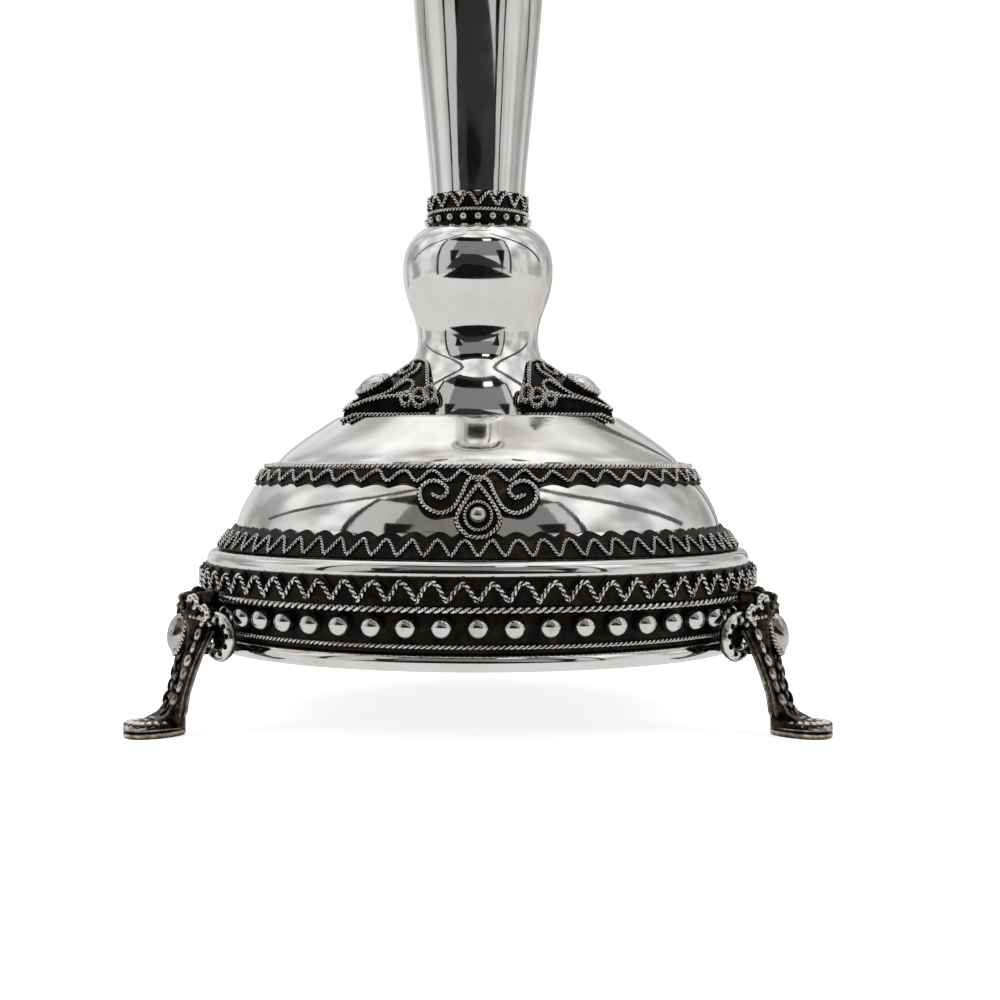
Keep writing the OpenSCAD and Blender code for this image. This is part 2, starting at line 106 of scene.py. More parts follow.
def inner_face(path, t=SHEET):
    """The inner face of a sheet of thickness t, never below the foot of the path."""
    step = np.diff(path, axis=0)
    step /= np.linalg.norm(step, axis=1)[:, None]
    left = np.c_[-step[:, 1], step[:, 0]]
    before = np.vstack([left[:1], left])
    after = np.vstack([left, left[-1:]])
    shift = (before + after) / (1 + (before * after).sum(1))[:, None]
    inner = path + t * shift
    inner[:, 1] = np.maximum(inner[:, 1], path[0, 1])
    return inner


def radius_at(path, z):
    return np.interp(z, path[:, 1], path[:, 0])


def height_at(path, r):
    return np.interp(r, path[::-1, 0], path[::-1, 1])


def turned(points, degrees):
    """Points turned about the axis."""
    c, s = math.cos(math.radians(degrees)), math.sin(math.radians(degrees))
    p = np.array(points, float)
    out = p.copy()
    out[..., 0] = c * p[..., 0] - s * p[..., 1]
    out[..., 1] = s * p[..., 0] + c * p[..., 1]
    return out


# ---- mesh building -------------------------------------------------------------------------
def signed_volume(verts, faces):
    a, b, c = (verts[faces[:, k]] for k in range(3))
    total = np.einsum("ij,ij->i", a, np.cross(b, c)).sum()
    if faces.shape[1] == 4:
        d = verts[faces[:, 3]]
        total += np.einsum("ij,ij->i", a, np.cross(c, d)).sum()
    return total


def skin(grid, closed_rows=False, closed_cols=False, caps=False):
    """A surface over a grid of points, as vertices and four-cornered faces, facing outwards."""
    rows, cols = grid.shape[:2]
    i = np.arange(rows if closed_rows else rows - 1)
    j = np.arange(cols if closed_cols else cols - 1)
    i, j = (k.ravel() for k in np.meshgrid(i, j, indexing="ij"))
    i2, j2 = (i + 1) % rows, (j + 1) % cols
    faces = columns(i * cols + j, i2 * cols + j, i2 * cols + j2, i * cols + j2)
    verts = grid.reshape(-1, 3)
    groups = [faces]
    if caps:
        n = len(verts)
        k = np.arange(cols)
        k2 = (k + 1) % cols
        verts = np.vstack([verts, grid[0].mean(0), grid[-1].mean(0)])
        groups.append(columns(k, k2, n))
        base = (rows - 1) * cols
        groups.append(columns(base + k2, base + k, n + 1))
    if sum(signed_volume(verts - verts.mean(0), g) for g in groups) < 0:
        groups = [g[:, ::-1] for g in groups]
    return verts, groups


def lathe(outline, segments=192):
    """A closed outline of [radius, height] turned round the axis."""
    outline = np.array(outline, float)
    a = np.arange(segments) * TAU / segments
    grid = around(outline[:, :1], a, outline[:, 1:])
    return skin(grid, closed_rows=True, closed_cols=True)


def distance_out(points):
    """Distances from the axis."""
    return np.hypot(points[:, 0], points[:, 1])


def columns(*values):
    """Rows from their columns, each an array or one number."""
    return np.stack(np.broadcast_arrays(*values), axis=-1)


def around(r, a, z):
    """Points from their distance from the axis, angle and height."""
    return columns(r * np.cos(a), r * np.sin(a), z)


def normalised(v):
    return v / np.maximum(np.linalg.norm(v, axis=-1, keepdims=True), 1e-12)


def tangents(path, closed):
    if closed:
        return normalised(np.roll(path, -1, 0) - np.roll(path, 1, 0))
    return normalised(np.gradient(path, axis=0))


def sweep(path, out, radius, sides=8, closed=False, squash=1.0):
    """A round wire along path. out points away from the surface that the wire lies on."""
    along = tangents(path, closed)
    up = normalised(out - (out * along).sum(1)[:, None] * along)
    side = np.cross(along, up)
    radius = np.broadcast_to(np.asarray(radius, float), len(path))[:, None, None]
    a = (np.arange(sides) * TAU / sides)[None, :, None]
    grid = path[:, None] + radius * (squash * np.cos(a) * up[:, None] + np.sin(a) * side[:, None])
    if closed:
        return skin(grid, closed_rows=True, closed_cols=True)
    return skin(grid, closed_cols=True, caps=True)


def resampled(path, out, count, closed):
    """count points evenly along a path, with its outward directions."""
    if closed:
        path = np.vstack([path, path[:1]])
        out = np.vstack([out, out[:1]])
    s = np.r_[0, np.cumsum(np.linalg.norm(np.diff(path, axis=0), axis=1))]
    at = np.linspace(0, s[-1], count, endpoint=not closed)
    pick = lambda v: np.stack([np.interp(at, s, v[:, k]) for k in range(3)], axis=1)
    return pick(path), normalised(pick(out)), s[-1]


def twisted(path, out, wire_d, pitch, closed=False, steps=10, sides=7):
    """Two round strands twisted together along path: a list of surfaces. Each also has a value for every
    vertex, from 0 in the twist, as tarnish, and underneath, as painted shade, to 1 on top."""
    _, _, length = resampled(path, out, 2, closed)
    turns = max(1, round(length / pitch))
    path, out, _ = resampled(path, out, turns * steps + (0 if closed else 1), closed)
    along = tangents(path, closed)
    up = normalised(out - (out * along).sum(1)[:, None] * along)
    side = np.cross(along, up)
    strand_r = 0.26 * wire_d
    orbit = wire_d / 2 - strand_r
    phase = (np.arange(len(path)) / steps * TAU)[:, None]
    strands = []
    for start in (0, math.pi):
        away = np.cos(phase + start) * up - np.sin(phase + start) * side
        verts, faces = sweep(path + orbit * away, away, strand_r, sides, closed)
        spokes = verts[:len(path) * sides].reshape(len(path), sides, 3) - path[:, None]
        far = np.linalg.norm(spokes, axis=2) / (wire_d / 2)
        height = (spokes * up[:, None]).sum(2) / (wire_d / 2)
        # dark on each strand's inner side as tarnish in the twist, and dark on its underside as painted
        # shade
        wear_and_shade = (np.clip((far - 0.35) / 0.6, 0, 1) * np.clip(0.75 + height, 0, 1)).ravel()
        strands.append((verts, faces, np.r_[wear_and_shade, np.ones(len(verts) - len(wear_and_shade))]))
    return strands


def circle_path(r, z, count=720):
    a = np.arange(count) * TAU / count
    path = around(r, a, float(z))
    return path, normalised(path * [1, 1, 0])


def ball_mesh(subdivisions=3):
    """A round ball of radius 1 as vertices and triangles."""
    bm = bmesh.new()
    bmesh.ops.create_icosphere(bm, subdivisions=subdivisions, radius=1)
    verts = np.array([v.co[:] for v in bm.verts])
    faces = np.array([[v.index for v in f.verts] for f in bm.faces])
    bm.free()
    return verts, faces


BALL = ball_mesh()
SMALL_BALL = ball_mesh(2)


def ball(centre, radius, mesh=BALL):
    """A ball, or an ellipsoid if radius has three values."""
    return mesh[0] * np.asarray(radius, float) + np.asarray(centre, float), [mesh[1]]


def spun(surfaces, angles):
    """The surfaces, turned to each of the angles."""
    return [(turned(s[0], a), *s[1:]) for a in angles for s in surfaces]


def with_wear_and_shade(surface, value):
    """The surface with its vertex value for tarnish, wear and painted shade: one value, or one for every
    vertex.
    """
    return (*surface[:2], np.broadcast_to(np.asarray(value, float), len(surface[0])))


def add(name, surfaces, material, node, body="root", sharp=40):
    """One piece from a list of surfaces in millimetres, in the place of a CAD node."""
    verts, faces, wear_and_shade, start = [], [], [], 0
    for v, groups, *worn_and_shaded in surfaces:
        verts.append(v)
        wear_and_shade.append(worn_and_shaded[0] if worn_and_shaded else np.ones(len(v)))
        for g in groups:
            faces.append(g + start)
        start += len(v)
    verts = np.vstack(verts) * MM
    mesh = bpy.data.meshes.new(name)
    sizes = np.concatenate([np.full(len(g), g.shape[1]) for g in faces])
    corners = np.concatenate([g.ravel() for g in faces])
    mesh.vertices.add(len(verts))
    mesh.vertices.foreach_set("co", verts.ravel())
    mesh.loops.add(len(corners))
    mesh.loops.foreach_set("vertex_index", corners)
    mesh.polygons.add(len(sizes))
    mesh.polygons.foreach_set("loop_start", np.r_[0, np.cumsum(sizes)[:-1]])
    mesh.update(calc_edges=True)
    # one value per vertex for tarnish, wear and painted shade, which the materials turn into colour
    mesh.attributes.new("wear_and_shade", "FLOAT", "POINT").data.foreach_set("value", np.concatenate(wear_and_shade))
    mesh.shade_smooth()
    mesh.set_sharp_from_angle(angle=math.radians(sharp))
    mesh.materials.append(material)
    piece = bpy.data.objects.new(name, mesh)
    bpy.context.scene.collection.objects.link(piece)
    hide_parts(node)
    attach(piece, body)


def sheet_outline(path, t=SHEET):
    return np.vstack([path, inner_face(path, t)[::-1]])


# ---- materials -----------------------------------------------------------------------------
class Shading:
    """A new material, with short ways to add to its node tree."""

    def __init__(self, name, metallic=0.0):
        self.material = bpy.data.materials.new(name)
        self.material.use_nodes = True
        self.nodes, self.links = self.material.node_tree.nodes, self.material.node_tree.links
        self.inputs = self.nodes["Principled BSDF"].inputs
        self.inputs["Metallic"].default_value = metallic

    def noise(self, scale, detail=4.0, roughness=0.5, stretch=None):
        """A noise texture in the object's own coordinates."""
        coords = self.nodes.new("ShaderNodeTexCoord").outputs["Object"]
        texture = self.nodes.new("ShaderNodeTexNoise")
        texture.inputs["Scale"].default_value = scale
        texture.inputs["Detail"].default_value = detail
        texture.inputs["Roughness"].default_value = roughness
        if stretch:
            mapping = self.nodes.new("ShaderNodeMapping")
            mapping.inputs["Scale"].default_value = stretch
            self.links.new(coords, mapping.inputs["Vector"])
            coords = mapping.outputs["Vector"]
        self.links.new(coords, texture.inputs["Vector"])
        return texture.outputs["Fac"]

    def worn_and_shaded(self, amount, scale):
        """The vertex value for tarnish, wear and painted shade, from 0 in the hollows and shaded places
        to 1 on top, broken up by noise.
        """
        wear_and_shade = self.nodes.new("ShaderNodeAttribute")
        wear_and_shade.attribute_name = "wear_and_shade"
        fleck = mapped(self, self.noise(scale, 5, 0.6), -amount, amount, 0.3, 0.7)
        total = self.nodes.new("ShaderNodeMath")
        total.operation = "ADD"
        total.use_clamp = True
        self.links.new(wear_and_shade.outputs["Fac"], total.inputs[0])
        self.links.new(fleck, total.inputs[1])
        return total.outputs["Value"]

    def colour(self, value, stops):
        self.links.new(ramp(self, value, stops), self.inputs["Base Color"])

    def roughness(self, value, low, high, from_low=0.0, from_high=1.0):
        self.links.new(mapped(self, value, low, high, from_low, from_high), self.inputs["Roughness"])

    def bump(self, *layers):
        """Bumps from (height, strength, distance in metres), one on another."""
        last = None
        for height, strength, distance in layers:
            node = self.nodes.new("ShaderNodeBump")
            node.inputs["Strength"].default_value = strength
            node.inputs["Distance"].default_value = distance
            self.links.new(height, node.inputs["Height"])
            if last:
                self.links.new(last, node.inputs["Normal"])
            last = node.outputs["Normal"]
        self.links.new(last, self.inputs["Normal"])


def grey(value):
    return (value, value, value)


def ramp(tree, value, stops):
    """A colour ramp over value; stops are (position, colour)."""
    node = tree.nodes.new("ShaderNodeValToRGB")
    elements = node.color_ramp.elements
    while len(elements) < len(stops):
        elements.new(0.5)
    for element, (position, colour) in zip(elements, stops):
        element.position = position
        element.color = (*colour, 1)
    tree.links.new(value, node.inputs["Fac"])
    return node.outputs["Color"]


def mapped(tree, value, low, high, from_low=0.0, from_high=1.0):
    """value, moved from the range from_low to from_high to the range low to high."""
    node = tree.nodes.new("ShaderNodeMapRange")
    node.inputs["From Min"].default_value = from_low
    node.inputs["From Max"].default_value = from_high
    node.inputs["To Min"].default_value = low
    node.inputs["To Max"].default_value = high
    tree.links.new(value, node.inputs["Value"])
    return node.outputs["Result"]


def polished_silver():
    """Mirror silver with faint haze, hand-worked waviness, hairline scratches and warm tarnish."""
    silver = Shading("polished_silver", 1.0)
    silver.colour(silver.noise(45, 6, 0.6), [
        (0.30, (0.70, 0.655, 0.60)), (0.44, (0.83, 0.815, 0.785)), (0.62, (0.90, 0.893, 0.878)),
    ])
    silver.roughness(silver.noise(130, 6, 0.6), 0.035, 0.11, 0.35, 0.75)
    waves = silver.noise(34, 2, 0.4)
    scratches = silver.noise(900, 2, 0.5, (1, 1, 0.05))
    silver.bump((waves, 0.17, 0.0011), (scratches, 0.03, 0.0002))
    return silver.material


def dull_silver():
    """Worn and slightly tarnished silver, for the shot and the stones, darker where the vertex value
    holds tarnish and painted shade.
    """
    silver = Shading("dull_silver", 1.0)
    silver.colour(silver.worn_and_shaded(0.2, 160), [
        (0.15, (0.04, 0.033, 0.027)), (0.5, (0.34, 0.31, 0.27)), (0.9, (0.82, 0.81, 0.79)),
    ])
    wear = silver.noise(420, 5, 0.6)
    silver.roughness(wear, 0.05, 0.2, 0.35, 0.7)
    silver.bump((silver.noise(240, 3, 0.5), 0.2, 0.0005), (wear, 0.12, 0.0002))
    return silver.material


def oxidised_silver():
    """Blackened silver with a warm, slightly greasy sheen."""
    silver = Shading("oxidised_silver", 0.9)
    patches = silver.noise(300, 6, 0.65)
    silver.colour(patches, [
        (0.38, (0.006, 0.005, 0.004)), (0.60, (0.018, 0.015, 0.012)), (0.80, (0.075, 0.061, 0.048)),
    ])
    silver.roughness(patches, 0.3, 0.5)
    grain = silver.noise(2600, 3, 0.6)
    silver.bump((patches, 0.4, 0.0004), (grain, 0.3, 0.0001))
    return silver.material


def bright_wire():
    """Twisted wire: bright on top from rubbing, black in the twist from tarnish and underneath as painted
    shade, brown between, and tarnished here and there."""
    silver = Shading("wire_silver", 1.0)
    wear_and_shade = silver.worn_and_shaded(0.24, 900)
    bright = ramp(silver, wear_and_shade, [
        (0.32, (0.006, 0.005, 0.004)), (0.50, (0.11, 0.09, 0.07)),
        (0.68, (0.66, 0.63, 0.59)), (0.88, (0.94, 0.93, 0.91)),
    ])
    tarnish = silver.nodes.new("ShaderNodeMix")
    tarnish.data_type = "RGBA"
    tarnish.blend_type = "MULTIPLY"
    patches = mapped(silver, silver.noise(150, 4, 0.6), 0, 1, 0.45, 0.7)
    silver.links.new(patches, tarnish.inputs["Factor"])
    silver.links.new(bright, tarnish.inputs["A"])
    tarnish.inputs["B"].default_value = (0.68, 0.60, 0.50, 1)
    silver.links.new(tarnish.outputs["Result"], silver.inputs["Base Color"])
    silver.roughness(wear_and_shade, 0.42, 0.12, 0.3, 0.85)
    silver.bump((silver.noise(1800, 4, 0.6), 0.25, 0.0001))
    return silver.material


def cast_silver():
    """Cast silver: black in the hollows from tarnish and painted shade, brown on the flanks, bright on
    its high points from rubbing.
    """
    silver = Shading("cast_silver", 1.0)
    wear_and_shade = silver.worn_and_shaded(0.2, 420)
    silver.colour(wear_and_shade, [
        (0.10, (0.006, 0.005, 0.004)), (0.34, (0.085, 0.068, 0.053)),
        (0.58, (0.36, 0.325, 0.28)), (0.85, (0.88, 0.865, 0.84)),
    ])
    silver.roughness(wear_and_shade, 0.3, 0.14, 0.2, 0.95)
    pits = silver.noise(700, 5, 0.6)
    lumps = silver.noise(300, 3, 0.5)
    silver.bump((lumps, 0.5, 0.0008), (pits, 0.3, 0.0002))
    return silver.material


def rod_steel():
    """Plain turned steel."""
    steel = Shading("rod_steel", 1.0)
    lines = steel.noise(700, 3, 0.5, (0.1, 0.1, 6))
    steel.colour(lines, [(0.3, (0.30, 0.30, 0.31)), (0.7, (0.52, 0.52, 0.54))])
    steel.roughness(lines, 0.25, 0.45)
    steel.bump((lines, 0.3, 0.0002))
    return steel.material


POLISHED = polished_silver()
DULL = dull_silver()
DARK = oxidised_silver()
WIRE = bright_wire()
CAST = cast_silver()
STEEL = rod_steel()


# ---- camera, light and floor ---------------------------------------------------------------
def camera():
    """The camera is level, in front of the base, and looks a little below its own height."""
    data = bpy.data.cameras.new("camera")
    data.lens, data.sensor_width = 60, 36
    data.shift_x, data.shift_y = 0.022, -0.033
    data.clip_start = 0.01
    eye = bpy.data.objects.new("camera", data)
    eye.location = (0, -0.393, 0.0571)
    eye.rotation_euler = (math.radians(90), 0, 0)
    bpy.context.scene.collection.objects.link(eye)
    bpy.context.scene.camera = eye


def area_light(name, location, aim, size, power):
    """A soft box that points at aim."""
    data = bpy.data.lights.new(name, "AREA")
    data.shape = "RECTANGLE"
    data.size, data.size_y = size
    data.energy = power
    lamp = bpy.data.objects.new(name, data)
    lamp.location = location
    lamp.visible_glossy = False
    bpy.context.scene.collection.objects.link(lamp)
    direction = Vector(aim) - Vector(location)
    lamp.rotation_euler = direction.to_track_quat("-Z", "Y").to_euler()


def glow(name, value):
    """A plain surface that gives the same light everywhere."""
    material = bpy.data.materials.new(name)
    material.use_nodes = True
    nodes, links = material.node_tree.nodes, material.node_tree.links
    nodes.clear()
    emission = nodes.new("ShaderNodeEmission")
    emission.inputs["Color"].default_value = (*grey(value), 1)
    output = nodes.new("ShaderNodeOutputMaterial")
    links.new(emission.outputs["Emission"], output.inputs["Surface"])
    return material


def reflected(name, mesh, value):
    """A studio card that shows only in reflections."""
    mesh.materials.append(glow(name, value))
    flag = bpy.data.objects.new(name, mesh)
    flag.visible_camera = False
    flag.visible_shadow = False
    flag.visible_diffuse = False
    bpy.context.scene.collection.objects.link(flag)


CARD_CENTRE_Z = 0.09  # metres


def sky_card(name, outline, value, distance=0.9, steps=8):
    """A card on a sphere round the candlestick. outline is four (azimuth, elevation) corners in
    degrees: left low, right low, right high, left high. Azimuth 0 is the camera's side."""
    low_left, low_right, high_right, high_left = (np.array(c, float) for c in outline)
    verts, faces = [], []
    for i in range(steps + 1):
        for j in range(steps + 1):
            u, v = i / steps, j / steps
            low = (1 - u) * low_left + u * low_right
            high = (1 - u) * high_left + u * high_right
            az, el = (math.radians(angle) for angle in (1 - v) * low + v * high)
            flat = distance * math.cos(el)
            verts.append((
                flat * math.sin(az), -flat * math.cos(az), CARD_CENTRE_Z + distance * math.sin(el)
            ))
            if i < steps and j < steps:
                k = i * (steps + 1) + j
                faces.append((k, k + steps + 1, k + steps + 2, k + 1))
    mesh = bpy.data.meshes.new(name)
    mesh.from_pydata(verts, [], faces)
    reflected(name, mesh, value)


def box(az_low, az_high, el_low, el_high):
    return [(az_low, el_low), (az_high, el_low), (az_high, el_high), (az_low, el_high)]


def flat_card(name, corners, value):
    mesh = bpy.data.meshes.new(name)
    mesh.from_pydata(corners, [], [tuple(range(len(corners)))])
    reflected(name, mesh, value)


def square(z, half=4):
    return [(-half, -half, z), (half, -half, z), (half, half, z), (-half, half, z)]


def studio():
    scene = bpy.context.scene
    scene.view_settings.view_transform = "Standard"
    world = bpy.data.worlds.new("studio")
    scene.world = world
    world.use_nodes = True
    tree = world.node_tree
    nodes, links = tree.nodes, tree.links
    nodes.clear()
    output = nodes.new("ShaderNodeOutputWorld")
    mix = nodes.new("ShaderNodeMixShader")
    # white behind the object, and the tent's shades in its reflections
    seen = nodes.new("ShaderNodeBackground")
    seen.inputs["Color"].default_value = (1, 1, 1, 1)
    tent = nodes.new("ShaderNodeBackground")
    coords = nodes.new("ShaderNodeTexCoord")
    split = nodes.new("ShaderNodeSeparateXYZ")
    links.new(coords.outputs["Generated"], split.inputs["Vector"])
    cloth = nodes.new("ShaderNodeTexNoise")
    cloth.inputs["Scale"].default_value = 2.6
    cloth.inputs["Detail"].default_value = 1.5
    links.new(coords.outputs["Generated"], cloth.inputs["Vector"])
    shades = ramp(tree, mapped(tree, split.outputs["Z"], 0, 1, -1, 1), [
        (0.0, grey(0.7)), (0.49, grey(0.60)), (0.58, grey(0.56)), (0.74, grey(0.72)), (1, grey(1.0)),
    ])
    links.new(shades, tent.inputs["Color"])
    folds = mapped(tree, cloth.outputs["Fac"], 0.62, 1.28, 0.38, 0.62)
    links.new(folds, tent.inputs["Strength"])
    path = nodes.new("ShaderNodeLightPath")
    links.new(path.outputs["Is Camera Ray"], mix.inputs["Fac"])
    links.new(tent.outputs["Background"], mix.inputs[1])
    links.new(seen.outputs["Background"], mix.inputs[2])
    links.new(mix.outputs["Shader"], output.inputs["Surface"])

    floor_mesh = bpy.data.meshes.new("floor")
    floor_mesh.from_pydata(square(0), [], [(0, 1, 2, 3)])
    cloth = Shading("floor")
    cloth.inputs["Base Color"].default_value = (*grey(0.5), 1)
    cloth.inputs["Roughness"].default_value = 0.9
    cloth.inputs["Emission Color"].default_value = (1, 1, 1, 1)
    cloth.inputs["Emission Strength"].default_value = 0.7
    floor_mesh.materials.append(cloth.material)
    floor = bpy.data.objects.new("floor", floor_mesh)
    bpy.context.scene.collection.objects.link(floor)

    area_light("left_box", (-0.9, -0.35, 0.55), (0, 0, 0.08), (0.5, 0.9), 7)
    area_light("right_box", (0.9, -0.30, 0.55), (0, 0, 0.08), (0.45, 0.9), 7)
    area_light("top_box", (0, 0.25, 1.1), (0, 0, 0.1), (0.8, 0.6), 6)
    # the table, a little darker in the silver than it looks itself
    flat_card("table", square(0.001), 0.72)
    # the mouth of the tent, with the dim room behind it
    sky_card("mouth", box(-62, 49, -3, 56), 0.55, 0.95)
    sky_card("mouth_left", box(-66, -62, -3, 50), 0.015, 0.9)
    sky_card("mouth_right", box(49, 52, -3, 50), 0.03, 0.9)
    sky_card("mouth_top", [(-64, 49), (51, 49), (36, 61), (-44, 61)], 0.04, 0.9)
    sky_card("room", box(-40, 40, 17, 49), 0.22, 0.89)
    sky_card("room_top", box(-43, 41, 48, 57), 0.004, 0.88)
    sky_card("room_left", [(-39, -1), (-38, -1), (-30, 27), (-45, 27)], 0.008, 0.88)
    sky_card("room_right", [(36, -1), (37, -1), (43, 27), (28, 27)], 0.008, 0.88)
    sky_card("room_low", [(-50, 1.5), (44, 1.5), (0, 19), (-24, 20)], 0.03, 0.87)
    sky_card("lamp", box(10, 26, 50, 55), 1.6, 0.86)
    # seams of the tent
    sky_card("seam_left", [(-118, 12), (-115, 12), (-38, 72), (-44, 74)], 0.1, 0.9)
    sky_card("seam_right", [(108, 10), (111, 12), (48, 74), (40, 72)], 0.1, 0.9)
    sky_card("seam_back", box(152, 155, -3, 60), 0.12, 0.9)
    # whoever takes the picture, in black, just behind the camera
    outline = ((-0.62, 0.004), (0.60, 0.004), (0.06, 0.128), (-0.16, 0.142))
    flat_card("photographer", [(x, -0.42, z) for x, z in outline], 0.006)


camera()
studio()


# ---- base ----------------------------------------------------------------------------------
def add_sheet(node, outline, segments=256):
    """A polished piece of spun sheet under an outline."""
    add(node + "_polished", [lathe(sheet_outline(outline), segments)], POLISHED, node)


def rim():
    a = np.radians(np.linspace(-90, 90, 25))
    half = RIM_H / 2
    nose = columns(RIM_R - half + half * np.cos(a), RIM_Z + half + half * np.sin(a))
    inner = RIM_R - 1.25 * half - 1
    outline = np.vstack([nose, [[inner, RIM_Z + RIM_H], [inner, RIM_Z]]])
    add("base_rim_polished", [lathe(outline, 256)], POLISHED, "base_rim")


def ring_wires():
    wires = (
        ("rim_wire", WALL_R + 0.5, RIM_Z + 5.2, 0.95, 2.4),
        ("belt_wire", BELT_R - BELT_WIRE / 2, BELT_Z, BELT_WIRE, 3.4),
        ("upper_gallery_wire", 49.5, 57.3, 1.2, 2.5),
    )
    for node, r, z, wire_d, pitch in wires:
        path, out = circle_path(r, z)
        add(node + "_twist", twisted(path, out, wire_d, pitch, True, 10, 8), WIRE, node)


def drum():
    wall = np.array([
        [WALL_R, RIM_Z + RIM_H + SEAM], [WALL_R, 27.6], [DRUM_TOP_R, 28.4], [DRUM_TOP_R, SHOULDER_Z]
    ])
    inside = wall - [SHEET, 0]
    add("base_drum_wall", [lathe(np.vstack([wall, inside[::-1]]), 256)], DARK, "base_drum")


def shot(wall_r, z, d, count, wobble=0.0, proud=0.32):
    """Domed shot on a wall, with flat backs."""
    balls = []
    for i in range(count):
        a = 360 * i / count - 90
        verts, faces = BALL
        v = verts * (d / 2) * (1 + wobble * RNG.uniform(-1, 1))
        v = v + [wall_r + SEAM + proud * d, 0, z + wobble * d * RNG.uniform(-1, 1)]
        v[:, 0] = np.maximum(v[:, 0], wall_r + SEAM)
        balls.append((turned(v, a), [faces]))
    return balls


def beads():
    # the shot is darker towards the wall behind it, as tarnish and painted shade
    add(
        "band_beads_shot",
        [with_wear_and_shade(b, np.clip(0.5 + 0.6 * (distance_out(b[0]) - WALL_R), 0, 0.95))
         for b in shot(WALL_R, BEAD_Z, BEAD_D + 0.3, BEAD_COUNT, 0.015, 0.24)],
        DULL, "band_beads",
    )


def wave_rise(t, pointed):
    """Height from 0 to 1 along a wave; pointed gives it round arches and sharp valleys."""
    arch = np.sin(math.pi * (t % 1)) ** 1.15
    plain = (1 - np.cos(TAU * t)) / 2
    return pointed * arch + (1 - pointed) * plain


def wave_path(low, high, count, pointed=0.8, steps=16):
    """A hand-bent wave of wire round the axis, from low to high [r, z], a little uneven."""
    n = count * steps
    t = np.arange(n) / steps
    which = np.floor(t).astype(int) % count
    tall = 1 + RNG.uniform(-0.08, 0.03, count)[which]
    rise = wave_rise(t, pointed) * tall
    low, high = np.array(low, float), np.array(high, float)
    p = low + rise[:, None] * (high - low)
    lean = 0.05 * np.sin(TAU * t + RNG.uniform(0, TAU, count)[which]) * wave_rise(t, 0)
    a = (t + lean) / count * TAU - TAU / 4
    path = around(p[:, 0], a, p[:, 1])
    slope = normalised(np.array([high[1] - low[1], low[0] - high[0]]))
    return path, around(slope[0], a, slope[1])


def add_waves(name, node, low, high, count, pointed, wire_d, pitch):
    """A row of waves in twisted wire."""
    path, out = wave_path(low, high, count, pointed)
    add(name, twisted(path, out, wire_d, pitch, True), WIRE, node)


def gallery_strip(low, high, count, trim_top=0.0, trim_low=0.0, thick=0.6, steps=12):
    """A strip between low and high [r, z] with scallops cut trim deep in its edges."""
    n = count * steps
    t = np.arange(n) / steps
    a = t / count * TAU - TAU / 4
    rise = wave_rise(t, 0.9)
    low, high = np.array(low, float), np.array(high, float)
    along = normalised(high - low)
    away = np.array([along[1], -along[0]])
    top = high - along * (trim_top * (1 - rise))[:, None]
    bottom = low + along * (trim_low * rise)[:, None]
    off = away * thick
    rows = [bottom, bottom + off, (top + bottom) / 2 + off, top + off, top]
    grid = np.stack([around(row[:, 0], a, row[:, 1]) for row in rows])
    return [skin(grid, closed_rows=True, closed_cols=True)]


def lower_gallery():
    strip = gallery_strip(
        [DRUM_TOP_R + SEAM, LOWER_Z], [DRUM_TOP_R + SEAM, LOWER_Z + 5.55], LOWER_WAVES,
        trim_top=2.7, thick=0.55,
    )
    add("lower_gallery_scallops", strip, DARK, "lower_gallery")
    r = DRUM_TOP_R + 0.95
    add_waves(
        "lower_wave_twist", "lower_wave_wire",
        [r, LOWER_Z + 0.8], [r, LOWER_Z + 4.6], LOWER_WAVES, 0.8, 1.12, 2.7,
    )


def shoulder():
    curve = bezier([SHOULDER_R, SHOULDER_Z + SEAM], [63.3, 36.8], [62.6, 38.3], [60.8, MIDDLE_Z])
    outline = join(curve, [[57.5, MIDDLE_Z]])
    add_sheet("shoulder_moulding", outline)


def middle_dome():
    outline = join(MIDDLE_CONE, MIDDLE_CURVE, [[47.8, MIDDLE_TOP_Z]])
    add_sheet("middle_dome", outline)


def middle_gallery():
    strip = gallery_strip([60.25, 38.5], [56.25, 43.7], MIDDLE_WAVES, trim_top=1.3, thick=0.55)
    add("middle_gallery_scallops", strip, DARK, "middle_gallery")
    add_waves(
        "middle_wave_twist", "middle_wave_wire",
        [60.65, 39.3], [58.35, 42.5], MIDDLE_WAVES, 0.35, 0.76, 1.6,
    )


def upper_gallery():
    strip = gallery_strip([51.75, 52.9], [49.4, 56.3], UPPER_WAVES, trim_low=1.0, thick=0.55)
    add("upper_gallery_scallops", strip, DARK, "upper_gallery")
    add_waves(
        "upper_wave_twist", "upper_wave_wire",
        [51.95, 54.25], [50.6, 56.4], UPPER_WAVES, 0.15, 0.76, 1.6,
    )


def upper_dome():
    outline = join(UPPER_CONE, UPPER_CURVE, [[ROD_HOLE_R, UPPER_TOP_Z]])
    add_sheet("upper_dome", outline)


# ---- ornaments -----------------------------------------------------------------------------
UP = np.array([0, 0, 1.0])
SIDE = np.array([0, 1.0, 0])


def on_dome(points, gap):
    """Points [side, height] over the middle dome, on the +X side, with outward directions."""
    points = np.array(points, float)
    z = TEARDROP_Z + points[:, 1]
    profile = np.vstack([MIDDLE_CURVE, [[50.9, 54.4], [50.2, 55.4]]])
    r = radius_at(profile, z)
    slope = (radius_at(profile, z + 0.3) - radius_at(profile, z - 0.3)) / 0.6
    a = points[:, 0] / r
    out = normalised(around(1.0, a, -slope))
    return around(r, a, z) + out * np.reshape(gap, (-1, 1)), out


def through(points, steps=10):
    """A smooth curve through points."""
    p = np.array(points, float)
    slope = np.gradient(p, axis=0)
    t = (np.arange(steps) / steps)[:, None]
    runs = [
        (1 + 2 * t) * (1 - t) ** 2 * p[i] + t * (1 - t) ** 2 * slope[i]
        + t * t * (3 - 2 * t) * p[i + 1] - t * t * (1 - t) * slope[i + 1]
        for i in range(len(p) - 1)
    ]
    return np.vstack(runs + [p[-1:]])


